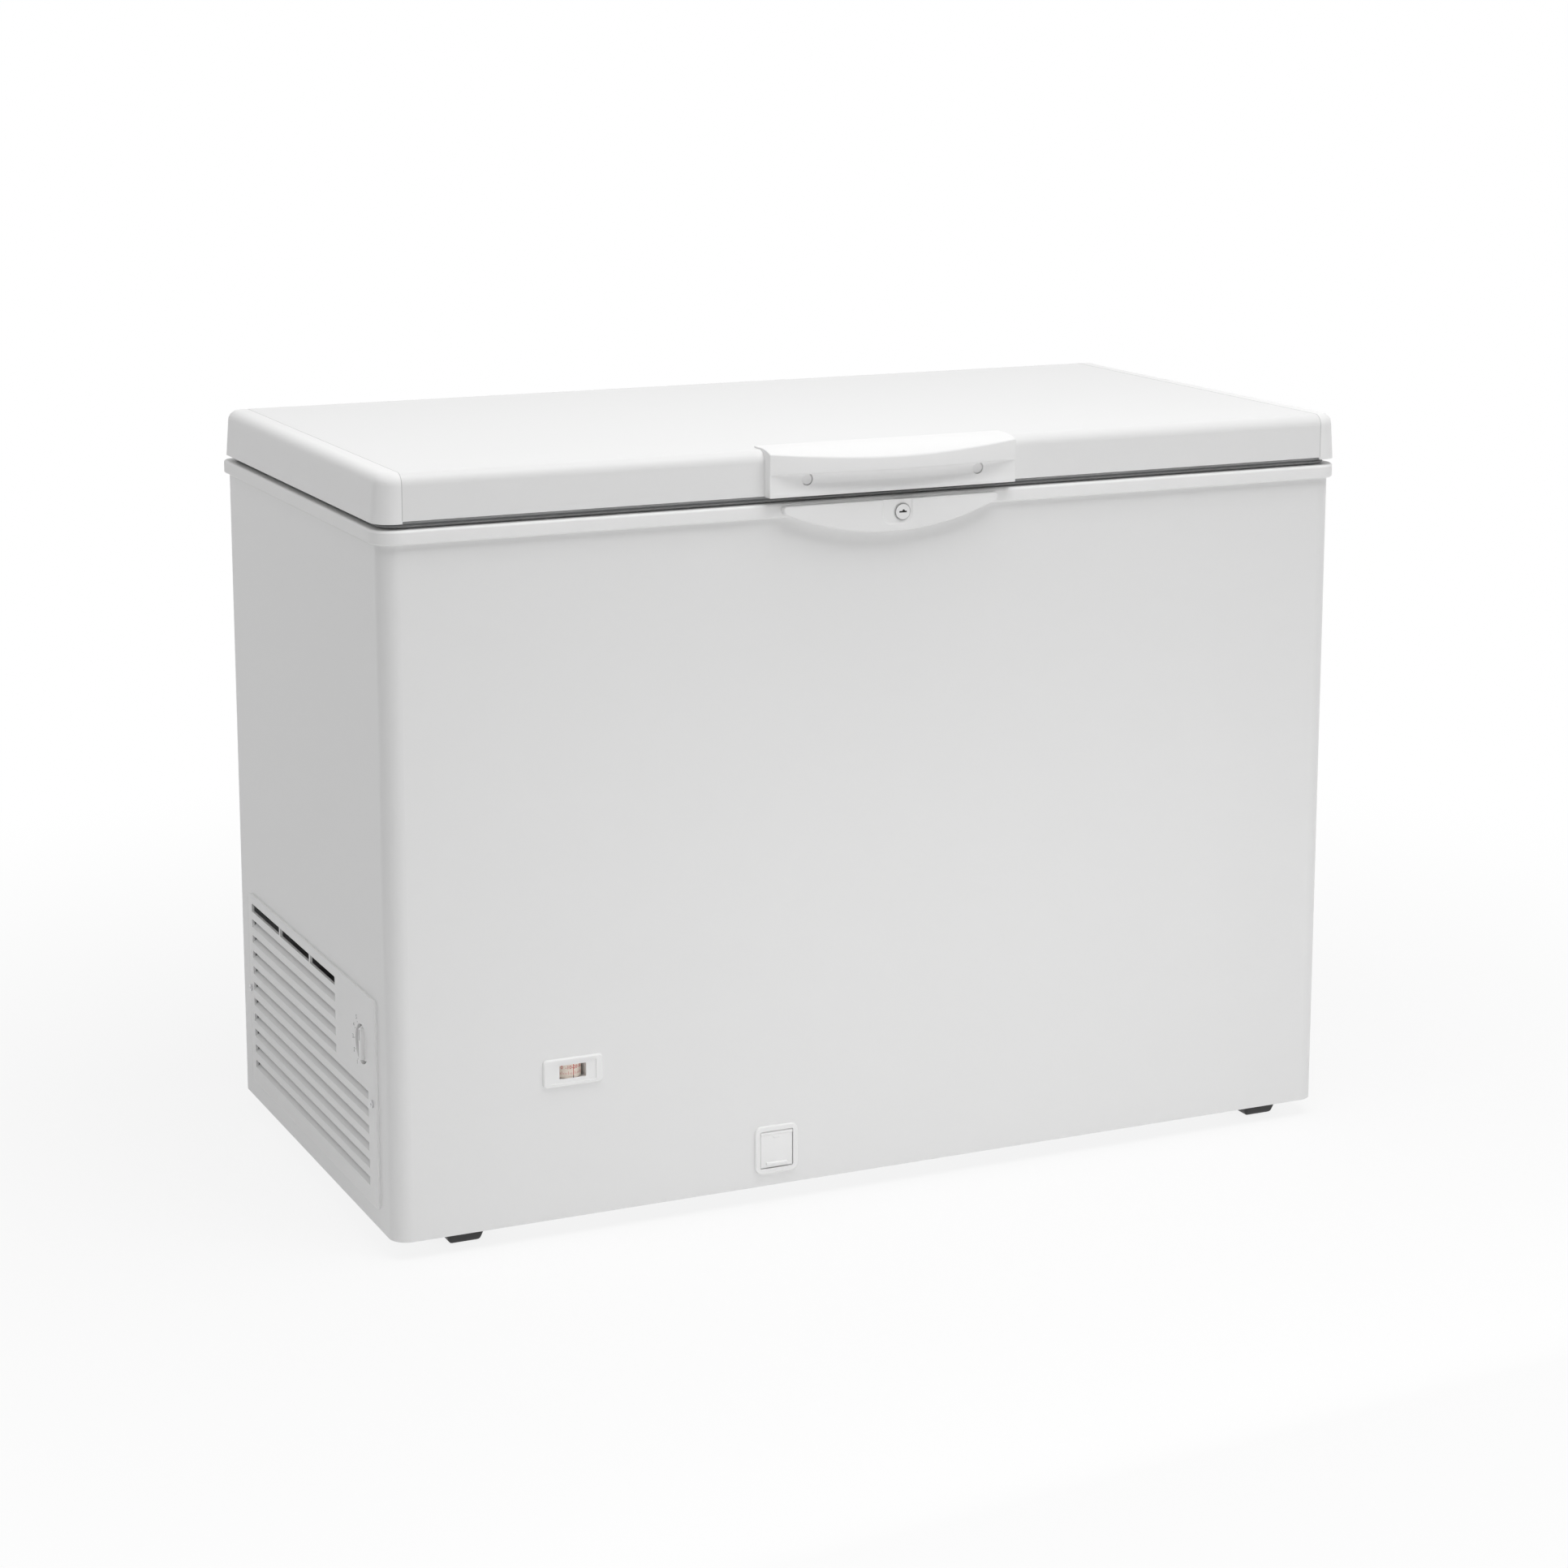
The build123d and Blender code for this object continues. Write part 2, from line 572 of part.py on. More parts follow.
def make_cabinet_foam():
    """Insulation that fills the space between the outer sheet and the tub."""
    top = RIM_Z - LINER_T
    foam = plan_block(LEFT + SHEET_T, RIGHT - SHEET_T, FRONT + SHEET_T, REAR_INSIDE,
                      FRONT_CORNER_R - SHEET_T + CORNER_RELIEF, REAR_CORNER_R - SHEET_T + CORNER_RELIEF,
                      FLOOR_TOP, top)
    foam -= tub_space(LINER_T, top + OVERCUT, -CORNER_RELIEF)
    foam -= block(BAY_X0 - OVERCUT, BAY_X1 + BAY_T, BAY_Y0 - BAY_T, BAY_Y1 + BAY_T,
                  FLOOR_TOP - OVERCUT, BAY_Z1 + BAY_T)
    foam -= tub_block(LINER_T + COIL_BAND, COIL_Z0, COIL_Z1)
    shelf = SHEET_T + COIL_BAND
    shelf_r = COIL_BEND_R + CONDENSER_OFF - shelf
    band = cabinet_block(OVERCUT, COIL_Z0, COIL_Z1)
    foam -= band - plan_block(LEFT + shelf, RIGHT - shelf, FRONT + shelf, REAR_INSIDE - COIL_BAND,
                              shelf_r, shelf_r, COIL_Z0, COIL_Z1)
    for start in (EVAPORATOR_START, CONDENSER_START):
        foam -= rod(start, (start[0], start[1], COIL_Z0 + OVERCUT), PIPE_R + 2 * PIPE_GAP)
    foam -= block(THERMOMETER_CX - HOUSING_W / 2, THERMOMETER_CX + HOUSING_W / 2, FRONT, HOUSING_BACK,
                  THERMOMETER_CZ - HOUSING_H / 2, THERMOMETER_CZ + HOUSING_H / 2)
    foam -= front_plate(DRAIN_CX, DRAIN_CZ, DRAIN_IN_W + 2 * DRAIN_WALL, DRAIN_IN_H + 2 * DRAIN_WALL,
                        DRAIN_R / 2, FRONT, FRONT + DRAIN_DEEP)
    foam -= pipe(DRAIN_PIPE_POINTS, DRAIN_PIPE_R + PIPE_GAP, DRAIN_PIPE_BEND_R)
    foam -= rod((LOCK_X, FRONT, LOCK_Z), (LOCK_X, FRONT + SHEET_T + LOCK_SLEEVE_L, LOCK_Z),
                LOCK_SHAFT_R + LOCK_SLEEVE_T + LOCK_FIT)
    foam -= rod((GLAND_X, BAY_Y1, GLAND_Z), (GLAND_X, BACK, GLAND_Z), GLAND_R + SCREW_FIT)
    for seat in hinge_screw_seats():
        foam -= screw_hole(seat, (0, -1, 0))
    for name, x, y in foot_centres():
        foam -= rod((x + FOOT_SCREW_SIDE, y, BASE_Z),
                    (x + FOOT_SCREW_SIDE, y, BASE_Z + FOOT_SCREW_UP + OVERCUT), FOOT_SCREW_R + SCREW_FIT)
    return foam


def make_rim_collar():
    """Plastic frame that caps the sheet and the tub all round the mouth."""
    collar = cabinet_block(COLLAR_OUT, COLLAR_Z0, COLLAR_Z1)
    collar = fillet(collar.faces().sort_by(Axis.Z)[-1].edges(), COLLAR_EDGE_R)
    collar = chamfer(collar.faces().sort_by(Axis.Z)[0].edges(), COLLAR_EDGE_R / 2)
    collar -= cabinet_block(COLLAR_FIT, COLLAR_Z0 - OVERCUT, RIM_Z)
    collar -= tub_block(-COLLAR_LIP_T, COLLAR_Z0 - OVERCUT, COLLAR_Z1 + OVERCUT)
    lip = tub_block(-COLLAR_FIT, COLLAR_Z1 - COLLAR_LIP_H, RIM_Z)
    collar += lip - tub_block(-COLLAR_LIP_T, COLLAR_Z1 - COLLAR_LIP_H - OVERCUT, COLLAR_Z1)
    collar -= rod((LOCK_X, FRONT - COLLAR_OUT - OVERCUT, LOCK_Z), (LOCK_X, FRONT + OVERCUT, LOCK_Z),
                  LOCK_SHAFT_R + 2 * LOCK_FIT)
    return collar


def make_compressor_bay():
    """Zinc-plated box over the compressor, open at the left side and underneath."""
    bay = block(BAY_X0, BAY_X1 + BAY_T, BAY_Y0 - BAY_T, BAY_Y1 + BAY_T, FLOOR_TOP, BAY_Z1 + BAY_T)
    bay -= block(BAY_X0 - OVERCUT, BAY_X1, BAY_Y0, BAY_Y1, FLOOR_TOP - OVERCUT, BAY_Z1)
    for start in (EVAPORATOR_START, CONDENSER_START):
        bay -= rod(start, (start[0], start[1], BAY_Z1 + BAY_T + OVERCUT), PIPE_R + 2 * PIPE_GAP)
    bay -= rod((GLAND_X, BAY_Y1 - OVERCUT, GLAND_Z), (GLAND_X, BACK, GLAND_Z), GLAND_R + SCREW_FIT)
    return bay


def make_coils():
    """Evaporator tube round the tub and condenser tube inside the outer sheet."""
    off = EVAPORATOR_OFF
    evaporator = coil(TUB_X0 - off, TUB_X1 + off, TUB_Y0 - off, TUB_Y1 + off, EVAPORATOR_START,
                      TUB_CORNER_R + off)
    off = CONDENSER_OFF
    condenser = coil(LEFT + off, RIGHT - off, FRONT + off, REAR_INSIDE - PIPE_GAP - PIPE_R, CONDENSER_START,
                     COIL_BEND_R)
    return {"evaporator_coil": evaporator, "condenser_coil": condenser}


def make_compressor():
    """Compressor on its rubber mounts, with its relay cover."""
    low = FOOTPLATE_Z + FOOTPLATE_T
    foot = (COMPRESSOR_X, COMPRESSOR_Y, low)
    head = (COMPRESSOR_X, COMPRESSOR_Y, low + COMPRESSOR_H)
    can = rod(foot, head, COMPRESSOR_R)
    can = fillet(can.edges().filter_by(GeomType.CIRCLE).sort_by(Axis.Z)[-1], COMPRESSOR_DOME_R)
    can += plan_block(COMPRESSOR_X - FOOTPLATE_W / 2, COMPRESSOR_X + FOOTPLATE_W / 2,
                      COMPRESSOR_Y - FOOTPLATE_D / 2, COMPRESSOR_Y + FOOTPLATE_D / 2,
                      GROMMET_R, GROMMET_R, FOOTPLATE_Z, low)
    grommets = []
    bolts = []
    for x, y in grommet_centres():
        bolt_hole = rod((x, y, BASE_Z), (x, y, low + OVERCUT), BOLT_R + SCREW_FIT)
        can -= bolt_hole
        grommets.append(rod((x, y, FLOOR_TOP), (x, y, FOOTPLATE_Z), GROMMET_R) - bolt_hole)
        head_top = low + BOLT_HEAD_H
        shank = rod((x, y, BASE_Z), (x, y, low), BOLT_R)
        bolts.append(rod((x, y, low), (x, y, head_top), BOLT_HEAD_R) + shank)
    front_y = COMPRESSOR_Y - COMPRESSOR_R
    relay_z = low + COMPRESSOR_H / 3
    relay = block(COMPRESSOR_X - RELAY_W / 2, COMPRESSOR_X + RELAY_W / 2,
                  front_y - RELAY_T / 2, front_y + RELAY_T / 2, relay_z, relay_z + RELAY_H)
    relay = fillet(relay.edges().filter_by(Axis.Y), RELAY_CORNER_R)
    relay -= rod(foot, head, COMPRESSOR_R + PIPE_GAP)
    return {"compressor_shell": can, "relay_cover": relay,
            "compressor_grommets": Compound(children=grommets), "compressor_bolts": Compound(children=bolts)}


def make_pipes():
    """Pipes between the compressor and the coils, and the filter on the bay's wall."""
    pipe_z = FOOTPLATE_Z + FOOTPLATE_T + COMPRESSOR_H / 2
    turn_z = BAY_Z1 - PIPE_RUN
    start_x, start_y = EVAPORATOR_START[:2]
    rear_y = COMPRESSOR_Y + COMPRESSOR_R
    suction = ((COMPRESSOR_X, rear_y + PIPE_GAP, pipe_z), (COMPRESSOR_X, rear_y + 2 * PIPE_RUN, pipe_z),
               (COMPRESSOR_X, rear_y + 2 * PIPE_RUN, turn_z), (start_x, start_y, turn_z), EVAPORATOR_START)
    start_x, start_y = CONDENSER_START[:2]
    side_x = COMPRESSOR_X + COMPRESSOR_R
    discharge = ((side_x + PIPE_GAP, COMPRESSOR_Y, pipe_z), (side_x + PIPE_RUN, COMPRESSOR_Y, pipe_z),
                 (side_x + PIPE_RUN, COMPRESSOR_Y, turn_z), (start_x, start_y, turn_z), CONDENSER_START)
    drier_x = BAY_X1 - PIPE_GAP - DRIER_R
    drier_y = (rear_y + BAY_Y1) / 2
    drier = rod((drier_x, drier_y, pipe_z), (drier_x, drier_y, pipe_z + DRIER_L), DRIER_R)
    drier = fillet(drier.edges().filter_by(GeomType.CIRCLE), DRIER_R - PIPE_R)
    return {"suction_pipe": pipe(suction, PIPE_R, PIPE_BEND_R),
            "discharge_pipe": pipe(discharge, PIPE_R, PIPE_BEND_R), "filter_drier": drier}


def grille_rows():
    """Height and front end of each louvre row; rows beside the thermostat stop short of it."""
    rows = []
    for index in range(ROW_COUNT):
        height = ROW_TOP - index * GRILLE_ROW_PITCH
        beside_knob = height + GRILLE_ROW_H / 2 > KNOB_Z - DISH_R - GRILLE_ROW_MARGIN / 2
        rows.append((height, GRILLE_Y0 + GRILLE_SHORT_FRONT if beside_knob else ROW_Y0))
    return rows


def row_spans(front_end):
    """Stretches of one louvre row between its ribs."""
    spans = []
    high = ROW_Y1
    while high - GRILLE_RIB_PITCH > front_end + GRILLE_RIB_PITCH / 2:
        spans.append((high - GRILLE_RIB_PITCH + GRILLE_RIB_T, high))
        high -= GRILLE_RIB_PITCH
    spans.append((front_end, high))
    return spans


def make_grille_panel():
    """Louvred plate over the compressor bay, with a round dish for the thermostat knob."""
    panel = side_plate(GRILLE_Y0, GRILLE_Y1, GRILLE_Z0, GRILLE_Z1, GRILLE_CORNER_R, GRILLE_FACE, LEFT)
    panel = fillet(panel.faces().sort_by(Axis.X)[0].edges(), GRILLE_EDGE_R)
    inside = GRILLE_FACE + GRILLE_FIN_DEEP
    for index, (height, front_end) in enumerate(grille_rows()):
        low = height - GRILLE_ROW_H / 2
        high = height + GRILLE_ROW_H / 2
        spans = [(front_end, ROW_Y1)] if index else row_spans(front_end)
        for y0, y1 in spans:
            panel -= block(GRILLE_FACE - OVERCUT, LEFT + OVERCUT, y0, y1, low, high)
            if index:
                fin = Polyline((GRILLE_FACE, y0, low), (inside, y0, high - GRILLE_FIN_GAP),
                               (inside + GRILLE_FIN_T, y0, high - GRILLE_FIN_GAP),
                               (GRILLE_FACE + GRILLE_T, y0, low), close=True)
                panel += extrude(make_face(fin), amount=y1 - y0, dir=(0, 1, 0))
    dish_back = DISH_FLOOR + DISH_T
    panel += rod((LEFT, KNOB_Y, KNOB_Z), (dish_back, KNOB_Y, KNOB_Z), DISH_R + DISH_T)
    panel -= rod((GRILLE_FACE - OVERCUT, KNOB_Y, KNOB_Z), (DISH_FLOOR, KNOB_Y, KNOB_Z), DISH_R)
    panel -= rod((DISH_FLOOR - OVERCUT, KNOB_Y, KNOB_Z), (dish_back + OVERCUT, KNOB_Y, KNOB_Z),
                 KNOB_SHAFT_R + KNOB_GAP)
    for seat in grille_screw_seats():
        panel -= screw_hole(seat, (1, 0, 0))
    return panel


def make_thermostat():
    """Thermostat behind the grille's dish and the knob on its shaft."""
    back = DISH_FLOOR + DISH_T
    knob_back = DISH_FLOOR - KNOB_GAP
    knob_face = knob_back - KNOB_T
    body = block(back, back + THERMOSTAT_DEEP, KNOB_Y - THERMOSTAT_L / 2, KNOB_Y + THERMOSTAT_L / 2,
                 KNOB_Z - THERMOSTAT_H / 2, KNOB_Z + THERMOSTAT_H / 2)
    body += rod((back, KNOB_Y, KNOB_Z), (knob_face + KNOB_GAP, KNOB_Y, KNOB_Z), KNOB_SHAFT_R)
    knob = rod((knob_face, KNOB_Y, KNOB_Z), (knob_back, KNOB_Y, KNOB_Z), KNOB_R)
    knob = fillet(knob.edges().filter_by(GeomType.CIRCLE).sort_by(Axis.X)[0], GRILLE_EDGE_R)
    grip = side_plate(KNOB_Y - KNOB_GRIP_W / 2, KNOB_Y + KNOB_GRIP_W / 2, KNOB_Z - KNOB_R + KNOB_GAP,
                      KNOB_Z + KNOB_R - KNOB_GAP, KNOB_GRIP_W / 2 - GRILLE_EDGE_R / 2,
                      knob_face - KNOB_GRIP_OUT, knob_face + KNOB_T / 2)
    knob += fillet(grip.faces().sort_by(Axis.X)[0].edges(), GRILLE_EDGE_R)
    knob -= rod((knob_face + KNOB_GAP, KNOB_Y, KNOB_Z), (knob_back + OVERCUT, KNOB_Y, KNOB_Z),
                KNOB_SHAFT_R + KNOB_FIT)
    return {"thermostat_body": body, "thermostat_knob": knob}


def lid_block(inset, low):
    """The lid's outer form with drafted ends and rounded corners, shrunk by one distance."""
    bottom = LID_HALF - inset
    top = bottom - LID_DRAFT
    front = LID_Y0 + inset
    high = LID_Z1 - inset
    outline = Polyline((-bottom, front, low), (bottom, front, low), (top, front, high), (-top, front, high),
                       close=True)
    form = extrude(make_face(outline), amount=LID_Y1 - LID_Y0 - 2 * inset, dir=(0, 1, 0))
    upright = form.edges().filter_by(lambda edge: abs(edge.tangent_at(0.5).Z) > 0.9)
    form = fillet(upright.group_by(Axis.Y)[0], LID_CORNER_R - inset)
    upright = form.edges().filter_by(GeomType.LINE).filter_by(lambda edge: abs(edge.tangent_at(0.5).Z) > 0.9)
    form = fillet(upright.group_by(Axis.Y)[-1], LID_REAR_R - inset)
    return form


def rounded_lid_block(inset, low):
    """The lid's outer form with its top edge rounded all round."""
    form = lid_block(inset, low)
    return fillet(form.faces().sort_by(Axis.Z)[-1].edges(), LID_EDGE_R - inset)


def panel_block(inset, low):
    """The top panel's section over the width between the end caps, shrunk by one distance."""
    form = block(-PANEL_HALF, PANEL_HALF, LID_Y0 + inset, LID_Y1 - inset, low, LID_Z1 - inset)
    return fillet(form.edges().filter_by(Axis.X).group_by(Axis.Z)[-1], LID_EDGE_R - inset)


def make_lid_shell():
    """Painted top panel and the two moulded end caps."""
    panel = panel_block(0, LID_Z0) - panel_block(LID_SHEET_T, LID_Z0 - OVERCUT)
    for seat in handle_screw_seats():
        panel -= screw_hole(seat, (0, 1, 0))
    for seat in arm_screw_seats():
        panel -= screw_hole(seat, (0, -1, 0))
    low = LID_Z0 - CAP_DROP
    shell = rounded_lid_block(0, low) - rounded_lid_block(CAP_T, low - OVERCUT)
    pieces = {"lid_top_panel": panel}
    for name, sign in sides():
        inner = sign * PANEL_HALF
        outer = sign * (LID_HALF + OVERCUT)
        pieces["lid_end_cap_" + name] = shell & block(min(inner, outer), max(inner, outer), LID_Y0 - OVERCUT,
                                                      LID_Y1 + OVERCUT, low - OVERCUT, LID_Z1 + OVERCUT)
    return pieces


def lid_inside(low, high):
    """Space inside the lid's shell, between its end caps and its front and back flanges."""
    half = LID_HALF - LID_DRAFT - CAP_T - LID_FIT
    return plan_block(-half, half, LID_Y0 + CAP_T + LID_FIT, LID_Y1 - CAP_T - LID_FIT,
                      LID_CORNER_R, LID_REAR_R, low, high)


def plug_block(shrink, low, high):
    """Raised middle of the lid's underside, which reaches into the tub's mouth."""
    return tub_block(-COLLAR_LIP_T - PLUG_CLEAR - shrink, low, high)


def seal_block(shrink, low, high):
    """The seal's outline under the lid's edge, shrunk by one distance."""
    inset = GASKET_INSET + shrink
    front_r = max(LID_CORNER_R - shrink, CORNER_RELIEF)
    rear_r = max(LID_REAR_R - shrink, CORNER_RELIEF)
    return plan_block(-LID_HALF + inset, LID_HALF - inset, LID_Y0 + inset, LID_Y1 - inset,
                      front_r, rear_r, low, high)


def make_lid_lining():
    """Moulded underside of the lid, its insulation and its seal."""
    pan_top = LID_Z0 + LID_LINER_T
    pan = lid_inside(LID_Z0, pan_top) + plug_block(0, PLUG_Z, pan_top)
    pan -= plug_block(LID_LINER_T, PLUG_Z + LID_LINER_T, pan_top + OVERCUT)
    foam = lid_inside(pan_top, LID_Z1 - CAP_T - LID_FIT)
    foam = fillet(foam.faces().sort_by(Axis.Z)[-1].edges(), LID_EDGE_R)
    foam += plug_block(LID_LINER_T + CORNER_RELIEF, PLUG_Z + LID_LINER_T, pan_top)
    for seat in handle_screw_seats():
        foam -= screw_hole(seat, (0, 1, 0))
    for seat in arm_screw_seats():
        foam -= screw_hole(seat, (0, -1, 0))
    seal_low = COLLAR_Z1 + LID_FIT
    seal = seal_block(0, seal_low, LID_Z0) - seal_block(GASKET_W, seal_low - OVERCUT, LID_Z0 + OVERCUT)
    groove_low = (seal_low + LID_Z0 - GASKET_GROOVE_H) / 2
    groove_high = groove_low + GASKET_GROOVE_H
    seal -= seal_block(-OVERCUT, groove_low, groove_high) - seal_block(GASKET_GROOVE, groove_low, groove_high)
    return {"lid_inner_liner": pan, "lid_foam": foam, "lid_gasket": seal}


def handle_section():
    """Side outline of the handle: a curved top, a visor, a finger scoop and an apron."""
    start = -HANDLE_W / 2
    lip_y = FRONT - HANDLE_OUT
    brow_y = FRONT - LID_FRONT_OUT - OVERCUT
    flat_y = FRONT + LID_EDGE_R / 2
    run = flat_y - brow_y
    brow_z = HANDLE_TOP - HANDLE_TOP_R + sqrt(HANDLE_TOP_R ** 2 - run ** 2)
    mid_y = flat_y - run / 2
    mid_z = HANDLE_TOP - HANDLE_TOP_R + sqrt(HANDLE_TOP_R ** 2 - (run / 2) ** 2)
    skin_y = LID_Y0 - HANDLE_FIT
    skin_z = LID_Z1 + HANDLE_FIT
    bend = LID_EDGE_R
    back_y = FRONT + HANDLE_BACK
    lip_z = HANDLE_Z0 + APRON_LIP
    top = ThreePointArc((start, flat_y, HANDLE_TOP), (start, mid_y, mid_z), (start, brow_y, brow_z))
    visor = Line((start, brow_y, brow_z), (start, brow_y, VISOR_Z))
    scoop_mid = (start, (brow_y + 3 * SCOOP_Y) / 4, (3 * VISOR_Z + SCOOP_Z) / 4)
    scoop = ThreePointArc((start, brow_y, VISOR_Z), scoop_mid, (start, SCOOP_Y, SCOOP_Z))
    apron = Polyline((start, SCOOP_Y, SCOOP_Z), (start, lip_y, lip_z), (start, lip_y, HANDLE_Z0),
                     (start, skin_y, HANDLE_Z0), (start, skin_y, skin_z - bend))
    cut = bend * (1 - sqrt(0.5))
    wrap = ThreePointArc((start, skin_y, skin_z - bend), (start, skin_y + cut, skin_z - cut),
                         (start, skin_y + bend, skin_z))
    rear = Polyline((start, skin_y + bend, skin_z), (start, back_y, skin_z), (start, back_y, HANDLE_TOP),
                    (start, flat_y, HANDLE_TOP))
    return make_face([top, visor, scoop, apron, wrap, rear])


def make_handle():
    """Moulded handle hooked over the lid's front edge, its screws and their round caps."""
    half = HANDLE_W / 2
    end_y = FRONT - HANDLE_OUT
    bow = ThreePointArc((-half, end_y), (0, FRONT - LID_FRONT_OUT), (half, end_y))
    rest = Polyline((half, end_y), (half, FRONT + HANDLE_BACK), (-half, FRONT + HANDLE_BACK), (-half, end_y))
    plan = Pos(0, 0, HANDLE_Z0) * extrude(make_face([bow, rest]), HANDLE_TOP - HANDLE_Z0)
    handle = extrude(handle_section(), amount=HANDLE_W, dir=(1, 0, 0)) & plan
    caps = []
    screws = []
    for seat in handle_screw_seats():
        x, y, z = seat
        cap_face = SCOOP_Y + HANDLE_CAP_SUNK
        handle -= rod((x, FRONT - LID_FRONT_OUT - OVERCUT, z), seat, HANDLE_CAP_R)
        handle -= screw_hole(seat, (0, 1, 0))
        cap = rod((x, cap_face, z), (x, cap_face + HANDLE_CAP_T, z), HANDLE_CAP_R - HANDLE_FIT)
        caps.append(cap)
        screws.append(screw(seat, (0, 1, 0)))
    keeper = CAM_L + CAM_CLEAR
    reach = sqrt(keeper ** 2 - (HANDLE_Z0 - LOCK_Z) ** 2)
    handle -= block(LOCK_X - CAM_W / 2 - CAM_CLEAR, LOCK_X + reach + CAM_CLEAR, CAM_Y0 - CAM_CLEAR,
                    CAM_Y1 + CAM_CLEAR, HANDLE_Z0 - OVERCUT, LOCK_Z + keeper)
    return {"handle": handle, "handle_screw_caps": Compound(children=caps),
            "handle_screws": Compound(children=screws)}


def make_lock():
    """Crescent plate below the handle, with a turning barrel and a cam that rises into the handle."""
    half = LOCK_PLATE_W / 2
    low = LOCK_TOP - LOCK_PLATE_H
    tip_z = LOCK_TOP - LOCK_PLATE_TIP_H
    arc = ThreePointArc((-half, FRONT, tip_z), (0, FRONT, low), (half, FRONT, tip_z))
    edge = Polyline((half, FRONT, tip_z), (half, FRONT, LOCK_TOP), (-half, FRONT, LOCK_TOP),
                    (-half, FRONT, tip_z))
    plate = extrude(make_face([arc, edge]), amount=LOCK_PLATE_T, dir=(0, -1, 0))
    tips = plate.edges().filter_by(Axis.Y)
    plate = fillet(tips, LOCK_PLATE_TIP_R)
    plate = chamfer(plate.faces().sort_by(Axis.Y)[0].edges(), LOCK_PLATE_EDGE)
    plate -= block(-half, half, FRONT - COLLAR_OUT - COLLAR_FIT, FRONT + OVERCUT, COLLAR_Z0 - COLLAR_FIT,
                   LOCK_TOP + OVERCUT)
    plate -= front_plate(LOCK_X - CAM_W / 2, LOCK_TOP, LOCK_PAD_W, 2 * LOCK_PAD_H, LOCK_PAD_W / 3,
                         LOCK_FACE - OVERCUT, LOCK_FACE + LOCK_PAD_DEEP)
    sweep_r = CAM_L + CAM_CLEAR
    corner = CAM_HUB_R + CAM_CLEAR
    slot_y0 = CAM_Y0 - LOCK_FIT * 3
    slot_y1 = CAM_Y1 + LOCK_FIT * 3
    plate -= rod((LOCK_X, slot_y0, LOCK_Z), (LOCK_X, slot_y1, LOCK_Z), sweep_r) & block(
        LOCK_X - corner, LOCK_X + sweep_r, slot_y0, slot_y1, LOCK_Z - corner, LOCK_Z + sweep_r)
    plate -= rod((LOCK_X, LOCK_FACE - OVERCUT, LOCK_Z), (LOCK_X, slot_y0 + OVERCUT, LOCK_Z),
                 LOCK_R + LOCK_FIT)
    plate -= rod((LOCK_X, slot_y0, LOCK_Z), (LOCK_X, FRONT + OVERCUT, LOCK_Z), LOCK_SHAFT_R + 2 * LOCK_FIT)
    shaft_end = FRONT + SHEET_T + LOCK_SLEEVE_L - LOCK_SLEEVE_T
    barrel = rod((LOCK_X, LOCK_FACE - LOCK_PROUD, LOCK_Z), (LOCK_X, CAM_Y0, LOCK_Z), LOCK_R)
    barrel = fillet(barrel.edges().filter_by(GeomType.CIRCLE).sort_by(Axis.Y)[0], LOCK_PROUD / 2)
    barrel += rod((LOCK_X, CAM_Y0, LOCK_Z), (LOCK_X, shaft_end, LOCK_Z), LOCK_SHAFT_R)
    barrel -= block(LOCK_X - KEYHOLE_W / 2, LOCK_X + KEYHOLE_W / 2, LOCK_FACE - LOCK_PROUD - OVERCUT,
                    LOCK_FACE - LOCK_PROUD + KEYHOLE_DEEP, LOCK_Z - KEYHOLE_H / 2, LOCK_Z + KEYHOLE_H / 2)
    cam = rod((LOCK_X, CAM_Y0, LOCK_Z), (LOCK_X, CAM_Y1, LOCK_Z), CAM_HUB_R)
    cam += block(LOCK_X, LOCK_X + CAM_L, CAM_Y0, CAM_Y1, LOCK_Z - CAM_W / 2, LOCK_Z + CAM_W / 2)
    cam &= rod((LOCK_X, CAM_Y0, LOCK_Z), (LOCK_X, CAM_Y1, LOCK_Z), CAM_L)
    cam -= rod((LOCK_X, CAM_Y0 - OVERCUT, LOCK_Z), (LOCK_X, CAM_Y1 + OVERCUT, LOCK_Z),
               LOCK_SHAFT_R + LOCK_FIT / 2)
    sleeve_y0 = FRONT + SHEET_T
    sleeve = rod((LOCK_X, sleeve_y0, LOCK_Z), (LOCK_X, sleeve_y0 + LOCK_SLEEVE_L, LOCK_Z),
                 LOCK_SHAFT_R + LOCK_SLEEVE_T)
    sleeve -= rod((LOCK_X, sleeve_y0 - OVERCUT, LOCK_Z), (LOCK_X, shaft_end + CAM_CLEAR, LOCK_Z),
                  LOCK_SHAFT_R + LOCK_FIT)
    return {"lock_plate": plate, "lock_barrel": barrel, "lock_cam": cam, "lock_sleeve": sleeve}


